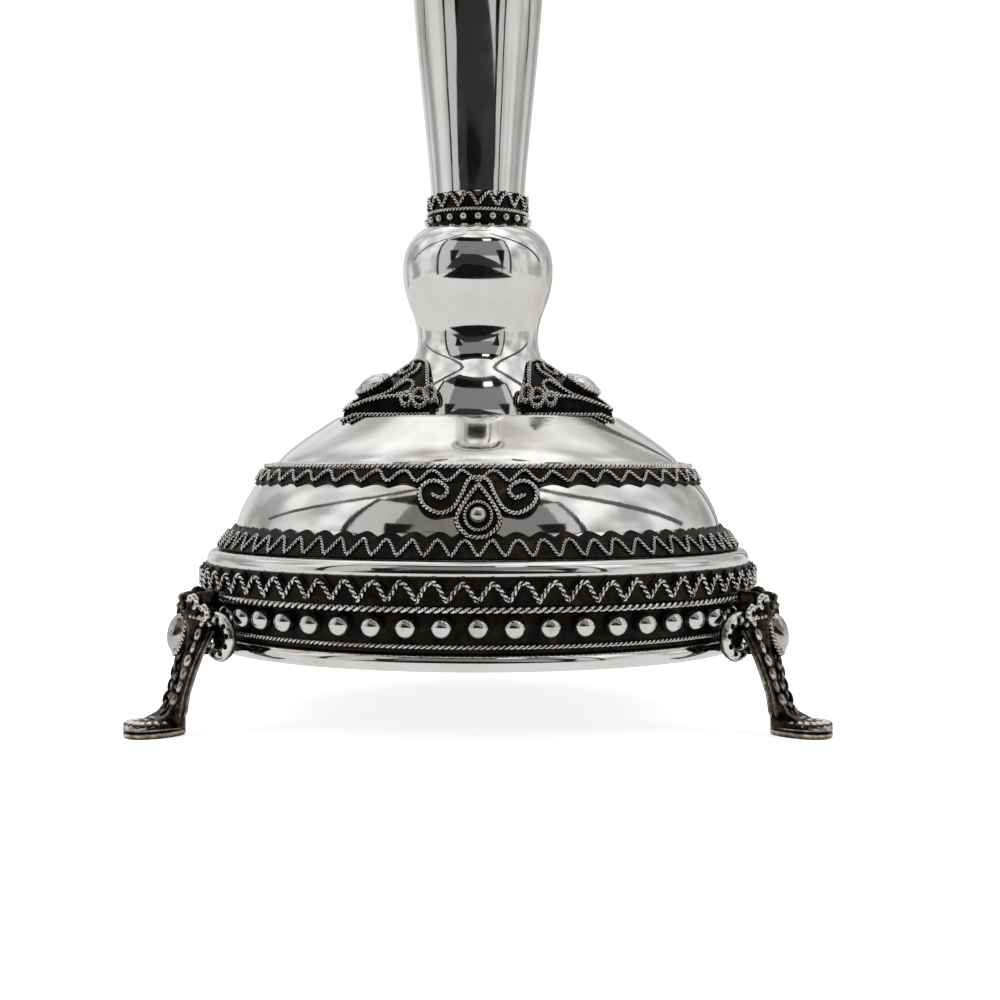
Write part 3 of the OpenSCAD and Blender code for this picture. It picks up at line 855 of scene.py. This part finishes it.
def both_sides(half, loop=False):
    """A right half joined to its mirror image, as one line or as a closed loop."""
    return np.vstack([(half * [-1, 1])[::-1], half[1:-1] if loop else half[1:]])


# Right halves of the ornament's wires as [sideways, above the bead], from the top down
SCROLL_WIRE = through([
    [0, 7.6], [1.9, 7], [3.3, 4.1], [5.2, 1.3], [8, 0.5], [11.1, 2.2], [11.7, 5.1], [9, 6.8],
    [6.2, 5.1], [7.3, 3.4], [9.4, 4],
])
DROP_WIRE = through([[0, 6], [2.3, 3.2], [4.2, 0], [3.9, -2], [2.2, -3.6], [0, -4.1]])


def plate(outline, centre, mapper, low, high, rings=6):
    """A plate over an outline, fitted to a curved surface by mapper, with a rounded edge."""
    outline, centre = np.array(outline, float), np.array(centre, float)
    levels = [(1.0, low), (1.0, high - 0.12), (0.97, high)]
    levels += [(1 - k / rings, high) for k in range(1, rings)]
    rows = [mapper(centre + share * (outline - centre), gap)[0] for share, gap in levels]
    under = mapper(centre + 0.05 * (outline - centre), low)[0]
    grid = np.stack([under] + rows)
    return skin(grid, closed_cols=True, caps=True)


def circle(x, y, r, count=36):
    t = np.arange(count) / count * TAU
    return columns(x + r * np.cos(t), y + r * np.sin(t))


def teardrops():
    drop = both_sides(DROP_WIRE, True)
    plates = [plate(drop * 1.14, [0, 0], on_dome, SEAM, 0.6)]
    for hand in (-1, 1):
        eye = [hand * 8.6, 3.7]
        plates.append(plate(circle(*eye, 4.1, 48), eye, on_dome, SEAM, 0.57))
        bridge = [[0, 8.3], [2.6, 7.9], [5, 6.6], [8.6, 7], [8.6, -0.4], [5.6, 0], [3, 1], [0, 1]]
        bridge = polyline(bridge, 5) * [hand, 1]
        plates.append(plate(bridge, [hand * 3.5, 4], on_dome, SEAM, 0.55))
    wires = twisted(*on_dome(drop, 1.1), 1.05, 1.8, True)
    wires += twisted(*on_dome(both_sides(SCROLL_WIRE), 1.1), 1.0, 1.75)
    wires += twisted(*on_dome(circle(0, 0, 2.7), 0.95), 0.75, 1.4, True)
    bead = [with_wear_and_shade(ball(on_dome([[0, 0]], 1.35)[0][0], 1.75), 0.8)]
    add("teardrop_backs", spun(plates, TEARDROP_ANGLES), DARK, "teardrop_plates")
    add("teardrop_twists", spun(wires, TEARDROP_ANGLES), WIRE, "teardrop_wires")
    add("teardrop_shot", spun(bead, TEARDROP_ANGLES), DULL, "teardrop_beads")


def flare_z(points, gap):
    """Heights above the foot of the neck, and the dome round it, at [along, across] points."""
    profile = np.vstack([UPPER_CURVE, FLARE])
    return height_at(profile, distance_out(points)) + gap


def on_plaque(points, gap):
    """Points [along the ray, across it] on a plaque's face, with outward directions."""
    points = np.array(points, float)
    x, y = points[:, 0], points[:, 1]
    z = 82 - 0.634 * (x - 15) - 0.054 * y * y
    out = normalised(columns(0.634, 0.108 * y, 1.0))
    return columns(x, y, z) + out * np.reshape(gap, (-1, 1)), out


def polyline(corners, steps=14, closed=True):
    corners = np.array(corners, float)
    ends = np.roll(corners, -1, 0) if closed else corners[1:]
    starts = corners if closed else corners[:-1]
    t = np.arange(steps)[None, :, None] / steps
    points = (starts[:, None] * (1 - t) + ends[:, None] * t).reshape(-1, 2)
    return points if closed else np.vstack([points, corners[-1:]])


PLAQUE = [[15.5, -4], [19.6, -11.8], [35, 0], [19.6, 11.8], [15.5, 4]]


def plaque_block():
    """A plaque's block, between its face and the flare of the neck."""
    outline = polyline(PLAQUE, 12)
    centre = np.array([22.0, 0.0])
    rows = []
    for share in (0.05, 0.2, 0.35, 0.5, 0.65, 0.8, 0.9, 1.0):
        p = centre + share * (outline - centre)
        rows.append(np.c_[p, flare_z(p, SEAM)])
    for share in (1.0, 0.985, 0.8, 0.6, 0.4, 0.2, 0.04):
        gap = -0.15 if share == 1.0 else 0.0
        rows.append(on_plaque(centre + share * (outline - centre), gap)[0])
    return skin(np.stack(rows), closed_cols=True, caps=True)


def inset(share):
    return [[22 + (x - 22) * share, y * share] for x, y in PLAQUE]


def plaques():
    wires = twisted(*on_plaque(polyline(inset(0.97)), 0.45), 1.0, 1.8, True)
    # a second wire along the foot of the walls
    foot = polyline(inset(1.04)[1:4], 20, False)
    path = np.c_[foot, flare_z(foot, 0.5)]
    out = normalised(np.c_[foot - [22, 0], np.full(len(foot), 4.0)])
    wires += twisted(path, out, 0.95, 1.8)
    for hand in (-1, 1):
        # heavier rope up the end that faces the neck
        ends = np.array([[15.2, hand * 4.6], [16.9, hand * 8], [18.7, hand * 11.6]])
        path, out = on_plaque(ends, -0.9)
        t = np.linspace(0, 2, 24)
        path = np.stack([np.interp(t, range(3), path[:, k]) for k in range(3)], axis=1)
        wires += twisted(path, np.tile([-0.9, hand * 0.5, 0.3], (24, 1)), 1.5, 2.6)
        field = through([
            [31, 2.3], [27.5, 4.5], [24.4, 5], [21.6, 5.2], [20.9, 7], [22.6, 8], [25, 6.9],
        ])
        wires += twisted(*on_plaque(field * [1, hand], 0.45), 0.95, 1.7)
        branch = through([[24.2, 4.7], [21, 4.2], [18.6, 4.3], [16.9, 3]])
        wires += twisted(*on_plaque(branch * [1, hand], 0.45), 0.9, 1.7)
        curl = through([[17.2, 0.4], [18.6, 2.2], [20.6, 2.4], [21.2, 1], [20, 0.5]])
        wires += twisted(*on_plaque(curl * [1, hand], 0.45), 0.85, 1.6)
        for x, y, r, gap in ((18.9, 10.9, 1.25, 1.1), (21.2, 10.3, 1.5, 0.9), (23.8, 8.9, 1.15, 0.7)):
            wires += twisted(*on_plaque(circle(x, hand * y, r, 30), gap), 0.9, 1.5, True)
            wires += twisted(*on_plaque(circle(x, hand * y, r, 30), gap - 0.8), 0.8, 1.5, True)
    centre, out = (v[0] for v in on_plaque([[26.8, 0]], 0))
    front = np.cross(SIDE, out)
    t = (np.arange(60) / 60 * TAU)[:, None]
    spokes = np.cos(t) * front + np.sin(t) * SIDE
    levels = ((3.66, 0.05), (4.3, 0.05), (4.3, 1.45), (3.66, 1.45))
    wall = np.stack([centre + r * spokes + h * out for r, h in levels])
    bezels = [with_wear_and_shade(skin(wall, closed_rows=True, closed_cols=True), 0.2)]
    seat = centre + 4.0 * spokes + 1.75 * out
    bezels += twisted(seat, np.broadcast_to(out, (60, 3)), 0.95, 1.8, True)
    a = np.radians(np.linspace(0, 86, 14))[:, None, None]
    dome = centre + 3.6 * np.cos(a) * spokes + (1.5 + 1.9 * np.sin(a)) * out
    dome = np.concatenate([dome[:1] - 1.4 * out, dome])
    stone = [with_wear_and_shade(skin(dome, closed_cols=True, caps=True), 0.85)]
    add("plaque_backs", spun([plaque_block()], PLAQUE_ANGLES), DARK, "plaque_plates")
    add("plaque_twists", spun(wires, PLAQUE_ANGLES), WIRE, "plaque_wires")
    add("plaque_bezel_rings", spun(bezels, PLAQUE_ANGLES), WIRE, "plaque_bezels")
    add("plaque_stones", spun(stone, PLAQUE_ANGLES), DULL, "plaque_cabochons")


# ---- column --------------------------------------------------------------------------------
def knop():
    outline = join(FLARE, KNOP_LOW, KNOP_HIGH, [[ROD_HOLE_R, KNOP_TOP_Z]])
    add_sheet("knop_neck", outline, 192)


def stem():
    foot = [[STEM_FOOT_R, KNOP_TOP_Z + SEAM], [STEM_FOOT_R, 120.5]]
    outline = join(foot, STEM_TAPER, STEM_SHOULDER, [[ROD_HOLE_R, STEM_TOP_Z]])
    add_sheet("stem", outline, 192)


def collar(prefix, r, z, nodes, waves=COLLAR_WAVES):
    """A short blackened tube with a bead row, a twisted wire and a row of waves."""
    tube_node, bead_node, wire_node, wave_node = nodes
    wall = r + 0.75
    low = gallery_strip([r + SEAM, z + SEAM], [r + SEAM, z + 7.7], waves, 1.5, 0, 0.72, 16)
    add(prefix + "_tube", low, DARK, tube_node)
    # the shot is darker towards the tube behind it, as tarnish and painted shade
    beads = [with_wear_and_shade(b, np.clip(0.1 + 1.4 * (distance_out(b[0]) - wall), 0, 0.8))
             for b in shot(wall, z + 1.6, 1.7, round(r * 2.1), 0.03)]
    add(prefix + "_shot", beads, DULL, bead_node)
    path, out = circle_path(wall + 0.43, z + 3.3, 240)
    add(prefix + "_ring_twist", twisted(path, out, 0.9, 1.7, True), WIRE, wire_node)
    add_waves(
        prefix + "_wave_twist", wave_node,
        [wall + 0.4, z + 4.2], [wall + 0.4, z + 7.1], waves, 0.7, 0.9, 1.8,
    )


def collars():
    collar(
        "stem_collar", STEM_FOOT_R, KNOP_TOP_Z,
        ("stem_collar", "collar_beads", "collar_wire", "collar_wave_wire"),
    )
    collar(
        "neck_collar", UPPER_COLLAR_R, STEM_TOP_Z,
        ("upper_collar", "upper_collar_beads", "upper_collar_wire", "upper_collar_waves"),
    )


def spool():
    curve = bezier([8.6, SPOOL_Z + 0.5], [6, 191.2], [5.6, 194.4], [8.4, CUP_Z])
    outline = np.vstack([
        [[ROD_HOLE_R, STEM_TOP_Z + SEAM], [UPPER_COLLAR_R, STEM_TOP_Z + SEAM], [UPPER_COLLAR_R, SPOOL_Z]],
        curve, [[ROD_HOLE_R, CUP_Z]],
    ])
    add("cup_spool_polished", [lathe(outline, 128)], POLISHED, "cup_spool")


def cup():
    outline = sheet_outline(join(CUP_BOWL, CUP_LIP))
    floor = [
        [ROD_HOLE_R, CUP_Z + SEAM], [8.4, CUP_Z + SEAM], [8.4, CUP_Z + 1.2], [ROD_HOLE_R, CUP_Z + 1.2]
    ]
    add("candle_cup_polished", [lathe(outline, 160), lathe(floor, 96)], POLISHED, "candle_cup")
    strip = gallery_strip([16.95, 207.0], [16.95, 214.2], CUP_WAVES, 0.0, 0.0, 0.65, 12)
    add("cup_band_strip", strip, DARK, "cup_band")
    rings = []
    for z in (207.9, 213.3):
        path, out = circle_path(18.03, z, 360)
        rings += twisted(path, out, 0.9, 1.8, True)
    add("cup_band_twists", rings, WIRE, "cup_band_wires")
    add_waves(
        "cup_wave_twist", "cup_wave_wire",
        [18.0, 208.9], [18.0, 212.4], CUP_WAVES, 0.6, 0.72, 1.7,
    )


def pan():
    curve = bezier([15, PAN_Z + 0.9], [18, PAN_Z + 0.9], [21, PAN_Z + 1.8], [23.4, PAN_Z + 4.2])
    dish = join([[LINER_R + SEAM, PAN_Z + 0.9], [15, PAN_Z + 0.9]], curve)
    outline = np.vstack([dish - [0, 0.9], dish[::-1]])
    add("drip_pan_polished", [lathe(outline, 160)], POLISHED, "drip_pan", "drip_pan")
    path, out = circle_path(24.13, PAN_Z + 3.75, 360)
    add(
        "pan_rim_twist", twisted(path, out, 1.4, 3.2, True, 10, 8), WIRE, "pan_rim_wire", "drip_pan",
    )


def assign(node, material):
    """A better material on a CAD piece whose shape is right."""
    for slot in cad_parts[node].material_slots:
        slot.material = material


def plain_pieces():
    assign("candle_liner", POLISHED)
    for node in ("tie_rod", "rod_washer", "rod_nut", "top_nut"):
        assign(node, STEEL)


# ---- feet ----------------------------------------------------------------------------------
def bump_on(centre, out, along, radii, low=0.05, gain=0.95):
    """A cast bead with its own directions, lighter on the side that faces out from wear, and dark on its
    back as painted shade.
    """
    across = np.cross(along, out)
    v = SMALL_BALL[0]
    a, b, c = radii
    verts = centre + v[:, :1] * a * out + v[:, 1:2] * b * across + v[:, 2:] * c * along
    return with_wear_and_shade((verts, [SMALL_BALL[1]]), np.clip(low + gain * v[:, 0], 0, 1))


# The leg's back and front edges as [height, distance from the axis], and its half width
LEG_BACK = np.array([
    [2, 73.2], [4.4, 73.0], [8.8, 72.2], [13, 70.8], [16.7, 69.4], [20.5, 67.4], [24, 65.4],
    [30.4, 65.3],
])
LEG_FRONT = np.array([
    [2, 84], [2.9, 82.5], [3.7, 80.6], [5, 77.8], [7.4, 76.1], [10.5, 75.0], [15.5, 74.2], [19, 73.5],
    [26, 73.8], [29.2, 73.0], [30.4, 70.4],
])
LEG_WIDTH = np.array([
    [2, 4.3], [3.4, 3.9], [6, 3.1], [10, 2.9], [16, 3.1], [20, 3.4], [28, 3.5], [30.4, 2.2],
])


def leg_at(edge, height):
    return np.interp(height, edge[:, 0], edge[:, 1])


def front_line(heights):
    """Points and outward and downward directions down the middle of the leg's front."""
    path = columns(leg_at(LEG_FRONT, heights), 0.0, heights)
    along = tangents(path, False)
    out = np.cross(along, SIDE)
    return path, out * np.sign(out[:, :1]), along


def leg():
    """The leg and instep, in level sections, with a hollow down the front."""
    heights = np.concatenate([np.linspace(30.4, 8, 40), np.linspace(7.4, 2, 16)])
    a = np.arange(40) * TAU / 40
    c, s = np.cos(a), np.sin(a)
    fat = (np.abs(c) ** 5 + np.abs(s) ** 5) ** -0.2
    c, s = c * fat, s * fat
    rows, wear_and_shade_rows = [], []
    for z in heights:
        back, front, half_w = (leg_at(edge, z) for edge in (LEG_BACK, LEG_FRONT, LEG_WIDTH))
        x = (front + back) / 2 + (front - back) / 2 * c
        y = half_w * s
        hollow = np.clip(1 - (y / (0.8 * half_w)) ** 2, 0, 1) * (c > 0.5)
        x -= hollow * 0.7
        rows.append(columns(x, y, z))
        # lighter along the edges from wear; dimmer at the back and darker down the front hollow as
        # painted shade
        edge = np.minimum(np.abs(c), np.abs(s)) ** 6
        wear_and_shade_rows.append(0.13 + 0.6 * edge * np.where(c > 0, 1, 0.7) - 0.12 * hollow)
    verts, faces = skin(np.stack(rows), closed_cols=True, caps=True)
    return with_wear_and_shade((verts, faces), np.r_[np.concatenate(wear_and_shade_rows), 0.2, 0.2])


TOE_CENTRE = np.array([79.1, 0.0])


def toe_outline(count=64):
    """The sole's outline: round at the toe, narrower at the heel."""
    t = np.arange(count) / count * TAU
    x = TOE_CENTRE[0] + 6.75 * np.cos(t)
    y = 4.65 * np.sin(t) * (0.86 + 0.2 * np.cos(t))
    return columns(x, y)


def toe():
    """The pad: a thick sole with two lines round its edge and a domed top."""
    outline = toe_outline()
    levels = [
        # each level: share of the outline, height, vertex value; darker underneath as painted shade, near
        # black in the two grooves as tarnish and painted shade, light on the rolls and the rim
        (0.95, 0.0, 0.15), (1.0, 0.35, 0.3), (1.012, 1.0, 0.55), (0.99, 1.35, 0.05), (0.99, 1.5, 0.05),
        (1.012, 1.85, 0.6), (1.005, 2.6, 0.75), (0.97, 3.0, 0.8), (0.93, 2.95, 0.1), (0.88, 2.8, 0.0),
        (0.8, 3.0, 0.1), (0.6, 3.4, 0.2), (0.35, 3.7, 0.25), (0.08, 3.8, 0.25),
    ]
    rows = [
        np.c_[TOE_CENTRE + share * (outline - TOE_CENTRE), np.full(len(outline), z)]
        for share, z, _ in levels
    ]
    verts, faces = skin(np.stack(rows), closed_cols=True, caps=True)
    wear_and_shade = np.repeat([r for _, _, r in levels], len(outline))
    return with_wear_and_shade((verts, faces), np.r_[wear_and_shade, 0.2, 0.25])


def ear(hand):
    """The notched scroll at one side of the crest, which follows the curve of the drum and is hooked at
    its lower end: a band, lighter on its outer face with painted shade on its sides, with black bumps in
    it as the painted shade of its holes, and a black bump behind its middle as painted shade."""
    t = np.linspace(0, 1, 90)
    turn = np.radians(-38 + 285 * t)
    shrink = 1 - 0.3 * np.clip((t - 0.65) / 0.35, 0, 1) ** 1.3
    lean = math.radians(20)
    sideways = np.array([-math.sin(lean), hand * math.cos(lean), 0])
    out = np.array([math.cos(lean), hand * math.sin(lean), 0])
    centre = np.array([68.5, hand * 1.5, 20.9]) + 3.9 * sideways
    wide, tall = (4.3 * shrink * np.sin(turn))[:, None], (4.0 * shrink * np.cos(turn))[:, None]
    path = centre + wide * sideways + tall * UP
    along = tangents(path, False)
    side = np.cross(along, out)
    half_w = 1.5 - 0.9 * np.clip((t - 0.75) / 0.25, 0, 1) + 0.05 * np.cos(TAU * 8.5 * t)
    verts, faces = sweep(path, np.tile(out, (len(t), 1)), half_w, 20, squash=0.8)
    height = ((verts[:-2].reshape(len(t), 20, 3) - path[:, None]) * out).sum(2) / half_w[:, None]
    # the band's sides are dark as painted shade, its outer face lighter
    band = with_wear_and_shade((verts, faces), np.r_[np.clip(0.15 + 1.5 * height, 0, 1).ravel(), 0.9, 0.9])
    shapes = [band]
    # black bumps along the band, as the painted shade of its holes
    for k in range(8, 82, 10):
        hole_shade_bump = path[k] + out * 0.66 * half_w[k]
        radii = [0.4 * half_w[k], 0.75, 0.42 * half_w[k]]
        shapes.append(with_wear_and_shade(bump_on(hole_shade_bump, out, side[k], radii), 0.0))
    # a black bump behind the middle of the scroll, as painted shade
    shapes.append(with_wear_and_shade(bump_on(centre - 1.1 * out, out, UP, [0.8, 2.7, 2.7]), 0.0))
    inward = -np.sign((side[76] * (path[76] - centre)).sum())
    barb = path[76] + 1.5 * side[76] * inward + 0.4 * out
    shapes.append(bump_on(barb, out, side[76], [0.5, 0.45, 0.9], 0.5, 0.5))
    return shapes


def crest():
    """Folded leaves on top of the leg, with two curls at each side."""
    shapes = []
    front = np.array([1.0, 0, 0])
    tips = ((71.6, 0, 28.6, 0), (71.0, -1.9, 28.0, 14), (71.0, 1.9, 28.0, -14), (69.5, 0, 29.6, 0))
    for x, y, z, lean in tips:
        up = np.array([0, math.sin(math.radians(-lean)), math.cos(math.radians(lean))])
        shapes.append(bump_on(np.array([x, y, z]), front, up, [2.0, 1.05, 2.0], 0.05, 0.4))
    for y, z, r in ((-1.1, 27.4, 0.8), (1.1, 27.4, 0.8), (0, 29.2, 0.9)):
        shapes.append(bump_on(np.array([73.2, y, z]), front, UP, [0.8, r, r], 0.1, 0.5))
    for hand in (-1, 1):
        turn = math.radians(38)
        out = np.array([math.cos(turn), hand * math.sin(turn), 0])
        sideways = np.array([-math.sin(turn), hand * math.cos(turn), 0])
        for x, y, z, r, first in ((71.7, 3.0, 28.3, 1.05, -80), (70.1, 4.7, 26.0, 1.15, -35)):
            a = np.radians(first + np.linspace(0, 285, 28))[:, None]
            core = np.array([x, hand * y, z])
            path = core + r * (0.85 * np.sin(a) * sideways + 1.1 * np.cos(a) * UP)
            radii = np.linspace(0.85, 0.5, 28) + 0.1 * np.sin(7 * a[:, 0])
            curl = sweep(path, np.tile(out, (28, 1)), radii, 10)
            shapes.append(with_wear_and_shade(curl, 0.95))
            # a black bump behind each curl, as painted shade in its middle
            shapes.append(bump_on(core - 0.9 * out, out, UP, [1.2, 1.7, 1.7], 0, 0.1))
        for k in range(4):
            seed = np.array([72.4 - 0.7 * k, hand * (3.3 + 0.25 * k), 25.4 - 0.2 * k])
            shapes.append(bump_on(seed, out, UP, [0.45, 0.42, 0.45], 0.3, 0.6))
    return shapes


def leaves():
    """Leaf scallops down both edges of the leg, a zigzag between them, and a ring on the pad."""
    shapes = []
    heights = np.arange(24.3, 5.5, -2.75)
    share = np.interp(heights, [6, 8, 15, 21, 25], [0.97, 0.93, 0.76, 0.6, 0.5])
    back, front, half_w = (leg_at(edge, heights) for edge in (LEG_BACK, LEG_FRONT, LEG_WIDTH))
    x = back + share * (front - back)
    for hand in (-1, 1):
        line = columns(x, hand * (half_w - 0.15 - 0.5 * (share > 0.9)), heights)
        along = tangents(line, False)
        for k in range(len(heights)):
            out = normalised(np.array([0.25 + share[k] * 0.75, hand, 0.1]))
            gain = 0.98 if heights[k] > 14 else 0.75
            broad = 0.95 + 0.2 * math.sin(2.3 * k)
            shapes.append(bump_on(line[k], out, along[k], [0.75, 0.8 * broad, 1.65], 0.02, gain))
        # two rolls down the back of the flank
        for inward, radius, wear_and_shade in ((0.55, 0.62, 0.5), (1.75, 0.4, 0.42)):
            z = np.linspace(22, 2.8, 32)
            edge = leg_at(LEG_BACK, z) + inward
            wide = leg_at(LEG_WIDTH, z) * (0.86 if inward < 1 else 0.97)
            end = 1 - np.clip((z - 2.6) / 2.6, 0, 1)
            path = columns(edge + 0.7 * end, hand * (wide - 0.5 * end), z)
            radii = radius * (1 - 0.6 * end)
            shapes.append(with_wear_and_shade(sweep(path, np.tile([0, hand, 0], (32, 1)), radii, 8), wear_and_shade))
    levels = np.array([16.8, 14.6, 12.5, 10.4, 8.4, 6.6, 5.1])
    path, out, along = front_line(levels)
    for k in range(len(levels)):
        hand = (-1) ** k
        side = np.array([0, hand, 0])
        tip = normalised(along[k] - 0.6 * side)
        leaf = path[k] - 0.35 * out[k] + 0.7 * side
        shapes.append(bump_on(leaf, out[k], tip, [0.8, 0.6, 1.35], -0.1, 0.7))
        seed = path[k] - 0.45 * out[k] - 1.2 * side
        shapes.append(bump_on(seed, out[k], along[k], [0.6, 0.5, 0.8], 0.0, 0.5))
    outline = toe_outline(44)
    for k in range(-14, 15, 2):
        p = TOE_CENTRE + 0.8 * (outline[k] - TOE_CENTRE)
        spoke = normalised(np.r_[outline[k] - TOE_CENTRE, 0])
        shapes.append(bump_on(np.r_[p, 2.95], UP, spoke, [0.75, 1.0, 1.4], 0.2, 1.0))
    for k, x in enumerate((79.4, 81.3, 83.0)):
        for y in (-0.8, 0.8):
            top = np.array([x, y, 3.6 - 0.25 * k])
            shapes.append(bump_on(top, UP, np.array([1.0, 0, 0]), [0.6, 0.6, 1.1], 0, 0.85))
    return shapes


def feet():
    shapes = [leg(), toe()] + ear(-1) + ear(1) + crest() + leaves()
    # the block that joins the leg to the drum
    corners = ((62.1, -2.5), (70, -2.5), (70, 2.5), (62.1, 2.5))
    block = np.array([[[x, y, z] for x, y in corners] for z in (17, 19)])
    shapes.append(with_wear_and_shade(skin(block, closed_cols=True, caps=True), 0.2))
    for node, angle in FEET.items():
        add(node + "_cast", spun(shapes, [angle]), CAST, node, sharp=50)
    lean = math.radians(14)
    out = np.array([math.cos(lean), 0, math.sin(lean)])
    up = np.array([-math.sin(lean), 0, math.cos(lean)])
    centre = np.array([72.5, 0, 21.5])
    t = (np.arange(48) / 48 * TAU)[:, None]
    ring = centre + 1.2 * out + 2.75 * np.cos(t) * SIDE + 4.7 * np.sin(t) * up
    seats = twisted(ring, np.broadcast_to(out, ring.shape), 1.1, 1.7, True)
    v = BALL[0] * [2.7, 2.4, 4.4]
    dome = centre + 1.1 * out + v[:, :1] * out + v[:, 1:2] * SIDE + v[:, 2:] * up
    stone = [with_wear_and_shade((dome, [BALL[1]]), 0.75)]
    add("foot_bezel_rings", spun(seats, FEET.values()), WIRE, "foot_bezels")
    add("foot_stones", spun(stone, FEET.values()), DULL, "foot_cabochons")


for build in (
    rim, ring_wires, drum, beads, lower_gallery, shoulder, middle_dome, middle_gallery, upper_gallery,
    upper_dome, teardrops, knop, plaques, stem, collars, spool, cup, pan, plain_pieces, feet,
):
    build()
